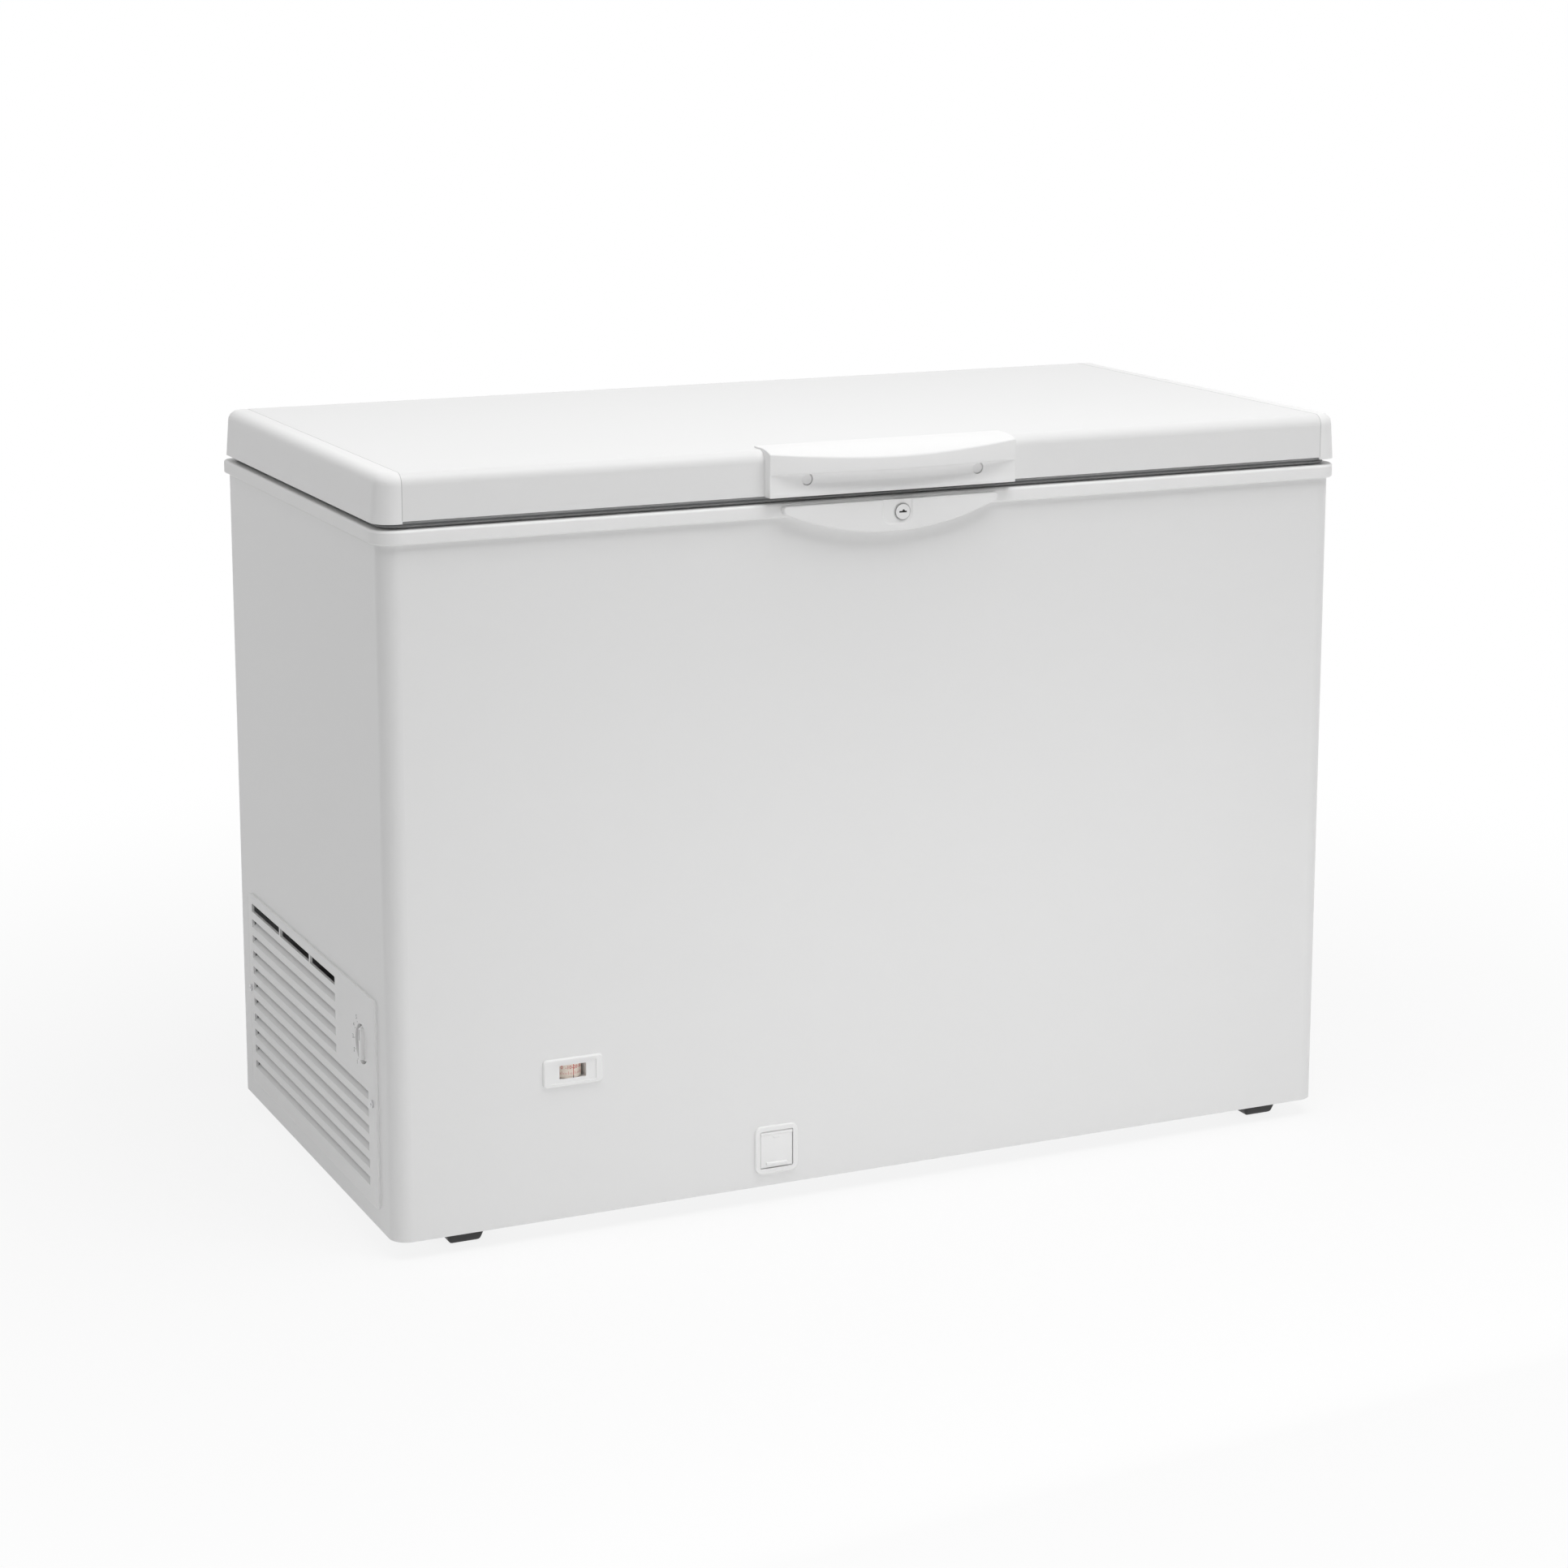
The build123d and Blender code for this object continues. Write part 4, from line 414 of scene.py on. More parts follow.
    @staticmethod
    def lettering(name: str, words: str, size: float, facing: Facing, place: Vector) -> bpy.types.Object:
        """Raised digits as a thin mesh.

        Args:
            name: name of the piece.
            words: the digits.
            size: their height.
            facing: side that they look to.
            place: their middle.

        Returns:
            The new piece.
        """
        Bench.clear()
        bpy.ops.object.text_add()
        piece = bpy.context.object
        piece.data.body = words
        piece.data.size = size
        piece.data.align_x = "CENTER"
        piece.data.align_y = "CENTER"
        piece.data.extrude = 0.03 * MM
        piece.data.resolution_u = 4
        bpy.ops.object.convert(target="MESH")
        piece = bpy.context.object
        piece.name = name
        piece.data.transform(Matrix.Translation(place) @ facing.turn())
        return piece

    @staticmethod
    def smooth(piece: bpy.types.Object, degrees: float = 32.0) -> None:
        """Shade a piece smooth, apart from its hard edges."""
        Bench.take(piece)
        bpy.ops.object.shade_smooth_by_angle(angle=math.radians(degrees))

    @staticmethod
    def mount(piece: bpy.types.Object, body: Body, finish: Finish, slot: str,
              *nodes: str) -> bpy.types.Object:
        """Finish a piece and put it on its body.

        Args:
            piece: the piece.
            body: body that it rides on.
            finish: its finish.
            slot: material slot of the record that the finish belongs to; not used.
            nodes: nodes of the frame that it stands for.

        Returns:
            The piece.
        """
        Bench.smooth(piece)
        finish.dress(piece)
        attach(piece, body.value)
        if nodes:
            finish.dress_nodes(*nodes)
            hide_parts(*nodes)
        LOG.info("piece %s on %s, %d faces", piece.name, body.value, len(piece.data.polygons))
        return piece


def arc(cy: float, cz: float, radius: float, start: float, end: float, steps: int) -> list[Flat]:
    """Points on a circle.

    Args:
        cy: first coordinate of the middle.
        cz: second coordinate of the middle.
        radius: radius.
        start: first angle in degrees.
        end: last angle in degrees.
        steps: number of steps between them.

    Returns:
        The points, both ends included.
    """
    turns = [math.radians(start + (end - start) * k / steps) for k in range(steps + 1)]
    return [(cy + radius * math.cos(turn), cz + radius * math.sin(turn)) for turn in turns]


def rounded(corners: Sequence[tuple[float, float, float]], steps: int = 6) -> list[Flat]:
    """Closed outline whose corners are rounded, each with its own radius.

    Args:
        corners: two coordinates and a radius for each corner.
        steps: steps of each rounding.

    Returns:
        The points of the outline.
    """
    points: list[Flat] = []
    for index, (px, py, radius) in enumerate(corners):
        here = Vector((px, py))
        before = (Vector(corners[index - 1][:2]) - here)
        after = (Vector(corners[(index + 1) % len(corners)][:2]) - here)
        half = before.angle(after) / 2
        reach = radius / math.tan(half)
        start = here + before.normalized() * reach
        end = here + after.normalized() * reach
        middle = here + (before.normalized() + after.normalized()).normalized() * (radius / math.sin(half))
        for k in range(steps + 1):
            way = (start - middle).slerp(end - middle, k / steps)
            points.append(tuple(middle + way * radius))
    return points


def inset(points: Sequence[Flat], distance: float) -> list[Flat]:
    """Outline moved inwards by one distance.

    Args:
        points: anticlockwise outline.
        distance: how far it moves.

    Returns:
        The moved outline.
    """
    moved: list[Flat] = []
    for index, point in enumerate(points):
        before = (Vector(point) - Vector(points[index - 1])).normalized()
        after = (Vector(points[(index + 1) % len(points)]) - Vector(point)).normalized()
        first = Vector((-before.y, before.x))
        second = Vector((-after.y, after.x))
        way = (first + second) / max(1.0 + first.dot(second), 0.3)
        moved.append(tuple(Vector(point) + way * distance))
    return moved


def level_loop(low: Vector, high: Vector, front_r: float, rear_r: float, height: float,
               shrink: float) -> Ring:
    """Level loop of a rectangle with rounded corners.

    Args:
        low: lowest corner of the rectangle.
        high: highest corner of the rectangle.
        front_r: radius of the two front corners.
        rear_r: radius of the two rear corners.
        height: height of the loop.
        shrink: distance by which it is shrunk all round.

    Returns:
        The points of the loop.
    """
    front = max(front_r - shrink, 1.0 * MM)
    rear = max(rear_r - shrink, 1.0 * MM)
    corners = [(low.x + shrink, low.y + shrink, front), (high.x - shrink, low.y + shrink, front),
               (high.x - shrink, high.y - shrink, rear), (low.x + shrink, high.y - shrink, rear)]
    return [Vector((x, y, height)) for x, y in rounded(corners, 8)]


@dataclass
class Cabinet:
    """Outer sheet, collar, tub and cooling parts of the cabinet."""

    plug_radius: float = 17.0 * MM
    plug_rise: float = 2.4 * MM
    plug_x: float = 210.0 * MM
    plug_z: float = 330.0 * MM

    def dress(self) -> None:
        """Give the cabinet's nodes their finishes."""
        CABINET_PAINT.dress_nodes("cabinet_wrap")
        WHITE_PLASTIC.dress_nodes("rim_collar", "drain_pipe")
        TUB_LINING.dress_nodes("inner_liner")
        ZINC.dress_nodes("rear_panel", "base_plate", "compressor_bay")
        FOAM.dress_nodes("cabinet_foam")
        COPPER.dress_nodes("evaporator_coil", "condenser_coil", "suction_pipe", "discharge_pipe",
                           "filter_drier")
        BLACK_PAINT.dress_nodes("compressor_shell")
        BLACK_PLASTIC.dress_nodes("relay_cover", "cable_gland")
        BLACK_RUBBER.dress_nodes("compressor_grommets", "drain_plug")
        SCREW_STEEL.dress_nodes("compressor_bolts", "foot_screws")

    def build_foam_plugs(self) -> None:
        """Domed plugs that close the filling holes in the back."""
        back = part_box("rear_panel")[1].y
        for name, side in (("left", -1), ("right", 1)):
            centre = Vector((side * self.plug_x, back, self.plug_z))
            steps = ((1.0, 0.0), (1.0, 0.35), (0.94, 0.62), (0.84, 0.74), (0.8, 0.7), (0.76, 0.78),
                     (0.45, 0.93), (0.12, 1.0))
            rings = []
            for share, rise in steps:
                circle = arc(centre.x, centre.z, self.plug_radius * share, 0.0, 352.5, 47)
                rings.append([Vector((x, back + self.plug_rise * rise, z)) for x, z in circle])
            plug = Bench.loft("foam_plug_" + name, rings)
            Bench.mount(plug, Body.CABINET, BLACK_PLASTIC, "black_plastic")


@dataclass
class Lid:
    """Lid shell with its seams, lining and seal."""

    seam_width: float = 0.7 * MM
    seam_proud: float = 0.05 * MM
    edge_radius: float = 12.0 * MM
    front_corner: float = 22.0 * MM
    rear_corner: float = 16.0 * MM
    seam_foot: float = 0.5 * MM
    liner_wall: float = 1.2 * MM
    plug_half: float = 482.0 * MM
    plug_front: float = -195.25 * MM
    plug_rear: float = 203.75 * MM
    plug_corner: float = 24.0 * MM
    plug_bend: float = 5.0 * MM
    seal_width: float = 14.0 * MM
    bead_drop: float = 1.0 * MM
    bead_inset: float = 55.0 * MM
    bead_width: float = 9.0 * MM

    def dress(self) -> None:
        """Give the lid's nodes their finishes."""
        LID_PAINT.dress_nodes("lid_top_panel")
        HANDLE_PLASTIC.dress_nodes("lid_end_cap_left", "lid_end_cap_right")
        FOAM.dress_nodes("lid_foam")

    def build_seams(self) -> None:
        """Fine lines where the end caps meet the top panel."""
        low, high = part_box("lid_top_panel")
        radius = self.edge_radius
        path = [(low.y, low.z + self.seam_foot)]
        path += arc(low.y + radius, high.z - radius, radius, 180.0, 90.0, 10)
        path += arc(high.y - radius, high.z - radius, radius, 90.0, 0.0, 10)
        path.append((high.y, low.z + self.seam_foot))
        for name, x in (("left", low.x), ("right", high.x)):
            rings = []
            for index, point in enumerate(path):
                before = Vector(path[max(index - 1, 0)])
                after = Vector(path[min(index + 1, len(path) - 1)])
                way = (after - before).normalized()
                out = Vector((-way.y, way.x))
                top = Vector(point) + out * self.seam_proud
                deep = Vector(point) - out * self.seam_width / 2
                half = self.seam_width / 2
                rings.append([Vector((x - half, *top)), Vector((x + half, *top)), Vector((x + half, *deep)),
                              Vector((x - half, *deep))])
            seam = Bench.loft("lid_seam_" + name, rings)
            Bench.mount(seam, Body.LID, SEAM_SHADE, "white_plastic")

    def build_lining(self) -> None:
        """Moulded underside with a rounded plug and a raised bead round its field."""
        low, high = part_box("lid_inner_liner")
        plate = high.z - self.liner_wall
        plug_low = Vector((-self.plug_half, self.plug_front, 0.0))
        plug_high = Vector((self.plug_half, self.plug_rear, 0.0))
        bend = self.plug_bend
        face = low.z + self.bead_drop

        def plug_loop(height: float, shrink: float) -> Ring:
            """Loop round the plug at a height, shrunk by a distance."""
            return level_loop(plug_low, plug_high, self.plug_corner, self.plug_corner, height, shrink)

        rings = [level_loop(low, high, self.front_corner, self.rear_corner, height, 0.0)
                 for height in (high.z, plate)]
        for turn in (0.0, 30.0, 60.0, 90.0):
            angle = math.radians(turn)
            rings.append(plug_loop(plate - bend * (1.0 - math.cos(angle)), -bend * (1.0 - math.sin(angle))))
        for turn in (0.0, 22.5, 45.0, 67.5, 90.0):
            angle = math.radians(turn)
            rings.append(plug_loop(face + bend * (1.0 - math.sin(angle)), bend * (1.0 - math.cos(angle))))
        for step, rise in ((0.0, 0.0), (0.25, 0.7), (0.5, 1.0), (0.75, 0.7), (1.0, 0.0)):
            rings.append(plug_loop(low.z + self.bead_drop * (1.0 - rise),
                                   self.bead_inset + self.bead_width * step))
        lining = Bench.loft("lid_lining", rings)
        Bench.mount(lining, Body.LID, WHITE_PLASTIC, "white_plastic", "lid_inner_liner")

    def build_seal(self) -> None:
        """Folded seal that runs round under the lid's edge."""
        low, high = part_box("lid_gasket")
        tall = high.z - low.z
        folds = ((0.5, 0.0), (0.12, 0.06), (0.0, 0.2), (0.04, 0.34), (0.2, 0.42), (0.2, 0.5), (0.04, 0.58),
                 (0.0, 0.72), (0.06, 0.86), (0.3, 0.92), (0.3, 1.0), (0.7, 1.0), (0.7, 0.92), (0.95, 0.86),
                 (1.0, 0.7), (0.84, 0.5), (1.0, 0.3), (0.9, 0.06))
        rings = [level_loop(low, high, self.front_corner, self.rear_corner, low.z + tall * rise,
                            self.seal_width * across) for across, rise in folds]
        seal = Bench.loft("lid_seal", rings, joined=True)
        Bench.mount(seal, Body.LID, SEAL_GREY, "seal_grey", "lid_gasket")


@dataclass
class Handle:
    """Moulded handle hooked over the lid's front edge."""

    half: float = 144.0 * MM
    apron_y: float = -291.75 * MM
    bow: float = 14.48 * MM
    top_radius: float = 70.0 * MM
    flat_y: float = -267.25 * MM
    visor_z: float = 797.0 * MM
    scoop_z: float = 784.0 * MM
    scoop_depth: float = 4.0 * MM
    lip: float = 3.5 * MM
    skin_y: float = -278.45 * MM
    skin_z: float = 822.2 * MM
    bend: float = 12.0 * MM
    brow_radius: float = 2.6 * MM
    crest_radius: float = 3.4 * MM
    cap_x: float = 100.0 * MM
    cap_z: float = 790.5 * MM
    cap_radius: float = 6.0 * MM
    cap_fit: float = 0.35 * MM
    rear_edge: float = 0.4 * MM
    lip_radius: float = 0.9 * MM
    slot_left: float = 5.5 * MM
    slot_right: float = 30.0 * MM
    slot_top: float = 778.4 * MM
    slot_fit: float = 1.0 * MM
    stations: int = 48

    def section(self, share: float, sink: float) -> list[Flat]:
        """Side outline of the handle at a share of its half length.

        Args:
            share: 0 in the middle and 1 at an end.
            sink: distance by which the outer skin is drawn in.

        Returns:
            Points in the plane of depth and height, anticlockwise.
        """
        low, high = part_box("handle")
        low = low + Vector((0.0, sink, sink))
        high = high - Vector((0.0, sink, sink))
        apron = self.apron_y + sink
        visor = apron - self.bow * (1.0 - share ** 2)
        hollow = apron + self.scoop_depth * (1.0 - share ** 4)
        run = self.flat_y - visor
        crest = high.z - self.top_radius + math.sqrt(self.top_radius ** 2 - run ** 2)
        lean = math.degrees(math.asin(run / self.top_radius))
        points = [(high.y, self.skin_z), (high.y, high.z - self.rear_edge), (high.y - self.rear_edge, high.z)]
        points += arc(self.flat_y, high.z - self.top_radius, self.top_radius, 90.0, 90.0 + lean * 0.88, 14)
        points += self.corner(points[-1], (visor, crest), (visor, self.visor_z), self.crest_radius)
        roof = (hollow, self.visor_z + 0.25 * self.brow_radius)
        brow = self.corner((visor, crest), (visor, self.visor_z), roof, self.brow_radius)
        points += brow
        points += self.curve(brow[-1], roof, (hollow, self.scoop_z), 12)[1:]
        lip_z = low.z + self.lip
        points += self.corner((hollow, self.scoop_z), (apron, lip_z), (apron, low.z), self.lip_radius)
        points += self.corner((apron, lip_z), (apron, low.z), (self.skin_y, low.z), self.lip_radius)
        points.append((self.skin_y, low.z))
        points += arc(self.skin_y + self.bend, self.skin_z - self.bend, self.bend, 180.0, 90.0, 8)
        return points

    @staticmethod
    def curve(start: Flat, pull: Flat, end: Flat, steps: int) -> list[Flat]:
        """Bent line between two points.

        Args:
            start: first point.
            pull: point that the line is drawn towards.
            end: last point.
            steps: number of steps.

        Returns:
            The points, both ends included.
        """
        parts = [k / steps for k in range(steps + 1)]
        return [tuple(Vector(start) * (1.0 - part) ** 2 + Vector(pull) * 2.0 * part * (1.0 - part)
                      + Vector(end) * part ** 2) for part in parts]

    @staticmethod
    def corner(before: Flat, here: Flat, after: Flat, radius: float) -> list[Flat]:
        """Rounded corner of the outline.

        Args:
            before: point before the corner.
            here: the corner.
            after: point after the corner.
            radius: radius of the rounding.

        Returns:
            Seven points round the corner.
        """
        middle = Vector(here)
        back = (Vector(before) - middle)
        on = (Vector(after) - middle)
        reach = min(radius, back.length * 0.45, on.length * 0.45)
        start = middle + back.normalized() * reach
        end = middle + on.normalized() * reach
        return Handle.curve(start, here, end, 6)

    def build(self) -> None:
        """Loft the handle and sink the pockets of its screw caps and of the lock's cam."""
        rings = []
        ends = ((1.0, 0.7 * MM), (0.998, 0.25 * MM), (0.994, 0.0))
        stops = [(-share, sink) for share, sink in ends]
        stops += [(-0.985 + 1.97 * k / self.stations, 0.0) for k in range(self.stations + 1)]
        stops += [(share, sink) for share, sink in reversed(ends)]
        for share, sink in stops:
            rings.append([Vector((share * self.half, y, z)) for y, z in self.section(abs(share), sink)])
        handle = Bench.loft("lid_handle", rings)
        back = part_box("handle_screw_caps")[1].y
        for side in (-1, 1):
            front = Vector((side * self.cap_x, self.apron_y - self.bow - 4.0 * MM, self.cap_z))
            deep = Vector((side * self.cap_x, back, self.cap_z))
            Bench.cut(handle, Bench.bar("cap_pocket", front, deep, self.cap_radius + self.cap_fit))
        cam_low, cam_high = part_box("lock_cam")
        slot_low = Vector((self.slot_left, cam_low.y - self.slot_fit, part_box("handle")[0].z - 2.0 * MM))
        slot_high = Vector((self.slot_right, cam_high.y + self.slot_fit, self.slot_top))
        Bench.cut(handle, Bench.slab("cam_slot", slot_low, slot_high))
        Bench.mount(handle, Body.LID, HANDLE_PLASTIC, "white_plastic", "handle")
        HANDLE_PLASTIC.dress_nodes("handle_screw_caps")
        SCREW_STEEL.dress_nodes("handle_screws")


@dataclass
class Lock:
    """Crescent plate below the handle, with its turning barrel."""

    half: float = 125.0 * MM
    tip: float = 8.0 * MM
    tip_radius: float = 3.6 * MM
    edge: float = 1.6 * MM
    pad_half: float = 18.0 * MM
    pad_drop: float = 27.0 * MM
    pad_deep: float = 1.5 * MM
    pad_slope: float = 2.2 * MM
    pad_left: float = 6.0 * MM
    pad_corner: float = 11.0 * MM
    hole_radius: float = 8.35 * MM
    cam_reach: float = 29.2 * MM
    cam_half: float = 8.8 * MM
    cam_fit: float = 0.3 * MM
    collar_fit: float = 0.2 * MM
    ring_radius: float = 8.5 * MM
    ring_width: float = 1.2 * MM
    # Size and place of the painted keyhole shade: a slot and a round dot above it.
    shade_slot_half: float = 4.45 * MM
    shade_slot_rise: float = 0.85 * MM
    shade_dot_side: float = 0.6 * MM
    shade_dot_up: float = 1.0 * MM
    shade_dot_radius: float = 1.5 * MM

    def outline(self) -> list[Flat]:
        """Crescent outline of the plate, anticlockwise seen from the front."""
        low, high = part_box("lock_plate")
        drop = high.z - self.tip - low.z
        radius = (self.half ** 2 + drop ** 2) / (2.0 * drop)
        reach = math.degrees(math.asin((self.half - 1.0 * MM) / radius))
        bottom = arc(0.0, low.z + radius, radius, -90.0 - reach, -90.0 + reach, 60)
        right = rounded([(self.half, high.z - self.tip, 0.1 * MM),
                         (self.half + 1.5 * MM, high.z, self.tip_radius), (0.0, high.z, 0.1 * MM)], 6)[7:14]
        left = [(-x, z) for x, z in reversed(right)]
        return bottom + right + left

    def build_plate(self) -> None:
        """Plate with soft edges, the barrel's pad and the cam's slot."""
        low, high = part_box("lock_plate")
        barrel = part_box("lock_barrel")
        centre = Vector(((barrel[0].x + barrel[1].x) / 2, 0.0, (barrel[0].z + barrel[1].z) / 2))
        outline = self.outline()
        steps = ((high.y, 0.0), (low.y + self.edge, 0.0), (low.y + 0.62 * self.edge, 0.08 * self.edge),
                 (low.y + 0.29 * self.edge, 0.29 * self.edge), (low.y + 0.08 * self.edge, 0.62 * self.edge),
                 (low.y, self.edge))
        rings = [[Vector((x, y, z)) for x, z in inset(outline, sink)] for y, sink in steps]
        plate = Bench.loft("lock_crescent", rings)
        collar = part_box("rim_collar")
        notch_low = Vector((-self.half - 20.0 * MM, collar[0].y - self.collar_fit,
                            collar[0].z - self.collar_fit))
        notch_high = Vector((self.half + 20.0 * MM, high.y + 5.0 * MM, high.z + 5.0 * MM))
        Bench.cut(plate, Bench.slab("collar_notch", notch_low, notch_high))
        left = centre.x - self.pad_left - self.pad_half
        right = centre.x - self.pad_left + self.pad_half
        foot = high.z - self.pad_drop
        pad = rounded([(left, foot, self.pad_corner), (right, foot, self.pad_corner),
                       (right, high.z + 8.0 * MM, 2.0 * MM), (left, high.z + 8.0 * MM, 2.0 * MM)], 8)
        pad_steps = [(low.y + share * self.pad_deep, share * self.pad_slope)
                     for share in (1.0, 0.8, 0.25, 0.0)]
        pad_steps.append((low.y - 1.0 * MM, -0.2 * MM))
        Bench.cut(plate, Bench.loft("barrel_pad", [[Vector((x, y, z)) for x, z in inset(pad, sink)]
                                                   for y, sink in pad_steps]))
        Bench.cut(plate, Bench.bar("barrel_hole", centre + Vector((0.0, low.y - 5.0 * MM, 0.0)),
                                   centre + Vector((0.0, high.y + 5.0 * MM, 0.0)), self.hole_radius, 64))
        cam_low, cam_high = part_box("lock_cam")
        sweep = arc(centre.x, centre.z, self.cam_reach, 0.0, 90.0, 16)
        sector = [(centre.x - self.cam_half, centre.z - self.cam_half),
                  (centre.x + self.cam_reach, centre.z - self.cam_half), *sweep,
                  (centre.x - self.cam_half, centre.z + self.cam_reach)]
        Bench.cut(plate, Bench.loft("cam_room", [[Vector((x, y, z)) for x, z in sector]
                                                 for y in (cam_low.y - self.cam_fit,
                                                           cam_high.y + self.cam_fit)]))
        Bench.mount(plate, Body.CABINET, WHITE_PLASTIC, "white_plastic", "lock_plate")
        self.build_ring(centre, low.y + self.pad_deep)

    def build_ring(self, centre: Vector, face: float) -> None:
        """Raised ring round the barrel.

        Args:
            centre: middle of the barrel.
            face: depth of the pad that carries the ring.
        """
        profile = ((0.0, 0.6), (0.0, -0.5), (0.3, -0.75), (0.7, -0.75), (1.0, -0.4), (1.0, 0.6))
        rings = []
        for across, rise in profile:
            circle = arc(centre.x, centre.z, self.ring_radius + self.ring_width * across, 0.0,
                         354.375, 63)
            rings.append([Vector((x, face + rise * MM, z)) for x, z in circle])
        ring = Bench.loft("barrel_ring", rings, joined=True)
        Bench.mount(ring, Body.CABINET, SEAM_SHADE, "white_plastic")

    def build_keyhole(self) -> None:
        """Painted shade in the keyhole: a near-black slot with a round dot above it, set just inside the
        barrel's face where the keyhole's depth lies in shade.
        """
        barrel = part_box("lock_barrel")
        centre_x = (barrel[0].x + barrel[1].x) / 2
        centre_z = (barrel[0].z + barrel[1].z) / 2
        face = barrel[0].y
        shade_slot = Bench.slab("keyhole_shade_slot", Vector((centre_x - self.shade_slot_half, face + 0.5 * MM,
                                                 centre_z - self.shade_slot_rise)),
                           Vector((centre_x + self.shade_slot_half, face + 1.9 * MM, centre_z + self.shade_slot_rise)),
                           0.15 * MM)
        shade_dot_x = centre_x + self.shade_dot_side
        shade_dot_z = centre_z + self.shade_dot_up
        shade_dot = Bench.bar("keyhole_shade_dot", Vector((shade_dot_x, face - 0.04 * MM, shade_dot_z)),
                        Vector((shade_dot_x, face + 1.2 * MM, shade_dot_z)), self.shade_dot_radius, 24)
        Bench.soften(shade_dot, 0.1 * MM, 2, lambda line: True)
        Bench.mount(Bench.join(shade_slot, shade_dot), Body.LOCK, KEYHOLE_SHADE, "bright_steel")
        BARREL_NICKEL.dress_nodes("lock_barrel")
        BRIGHT_STEEL.dress_nodes("lock_cam", "lock_sleeve")


@dataclass
class Thermometer:
    """Dial thermometer with a turning scale drum."""

    digit_size: float = 5.2 * MM
    spread: float = 26.0
    ticks: int = 17
    tick_half: float = 0.14 * MM
    tick_foot: float = -4.6 * MM
    ink: float = 0.06 * MM
    window_half: float = 7.6 * MM
    mark_tall: float = 2.8 * MM

    def dress(self) -> None:
        """Give the thermometer's nodes their finishes."""
        WHITE_PLASTIC.dress_nodes("thermometer_bezel", "thermometer_case")
        SCALE_CREAM.dress_nodes("thermometer_drum")
        BRIGHT_STEEL.dress_nodes("thermometer_spindle")

    def wrap(self, piece: bpy.types.Object, centre: Vector, radius: float, lift: float) -> None:
        """Bend a flat piece round the drum.

        Args:
            piece: piece drawn upright at the drum's middle, with its face at depth 0.
            centre: middle of the drum.
            radius: radius of the drum.
            lift: how far its face stands off the drum.
        """
        for point in piece.data.vertices:
            turn = point.co.x / radius
            reach = radius + (lift if point.co.y < 0.0 else -0.1 * MM)
            point.co = (centre.x + reach * math.sin(turn), centre.y - reach * math.cos(turn),
                        centre.z + point.co.z)

    def build_scale(self) -> None:
        """Red digits and ticks on the drum."""
        low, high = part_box("thermometer_drum")
        centre = (low + high) / 2
        radius = (high.x - low.x) / 2
        pieces = []
        for index, words in enumerate(("0", "-10", "-20", "-30")):
            offset = math.radians((index - 1.5) * self.spread) * radius
            digits = Bench.lettering("scale_" + str(index), words, self.digit_size, Facing.FRONT,
                                     Vector((offset, 0.0, 3.0 * MM)))
            self.wrap(digits, centre, radius, self.ink)
            pieces.append(digits)
        for index in range(self.ticks):
            offset = math.radians((index - (self.ticks - 1) / 2) * self.spread / 4) * radius
            tall = 3.4 * MM if index % 4 == 2 else 2.0 * MM
            tick = Bench.slab("tick_" + str(index),
                              Vector((offset - self.tick_half, -0.05 * MM, self.tick_foot)),
                              Vector((offset + self.tick_half, 0.05 * MM, self.tick_foot + tall)))
            self.wrap(tick, centre, radius, self.ink)
            pieces.append(tick)
        scale = Bench.join(*pieces)
        scale.name = "scale_marks"
        Bench.mount(scale, Body.DRUM, RED_INK, "scale_cream")

    def build_pointer(self) -> None:
        """Red hair line across the window and a dark mark below it."""
        low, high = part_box("thermometer_bezel")
        centre = (low + high) / 2
        foot = centre.z - self.window_half
        line = Bench.slab("hair_line", Vector((centre.x + 0.6 * MM, low.y + 1.5 * MM, foot)),
                          Vector((centre.x + 1.1 * MM, low.y + 2.0 * MM, centre.z + self.window_half)),
                          0.1 * MM)
        Bench.mount(line, Body.CABINET, RED_INK, "scale_cream")
        mark = Bench.slab("hair_mark", Vector((centre.x + 0.5 * MM, low.y + 1.4 * MM, foot)),
                          Vector((centre.x + 1.2 * MM, low.y + 2.1 * MM, foot + self.mark_tall)), 0.1 * MM)
        Bench.mount(mark, Body.CABINET, DARK_INK, "scale_cream")


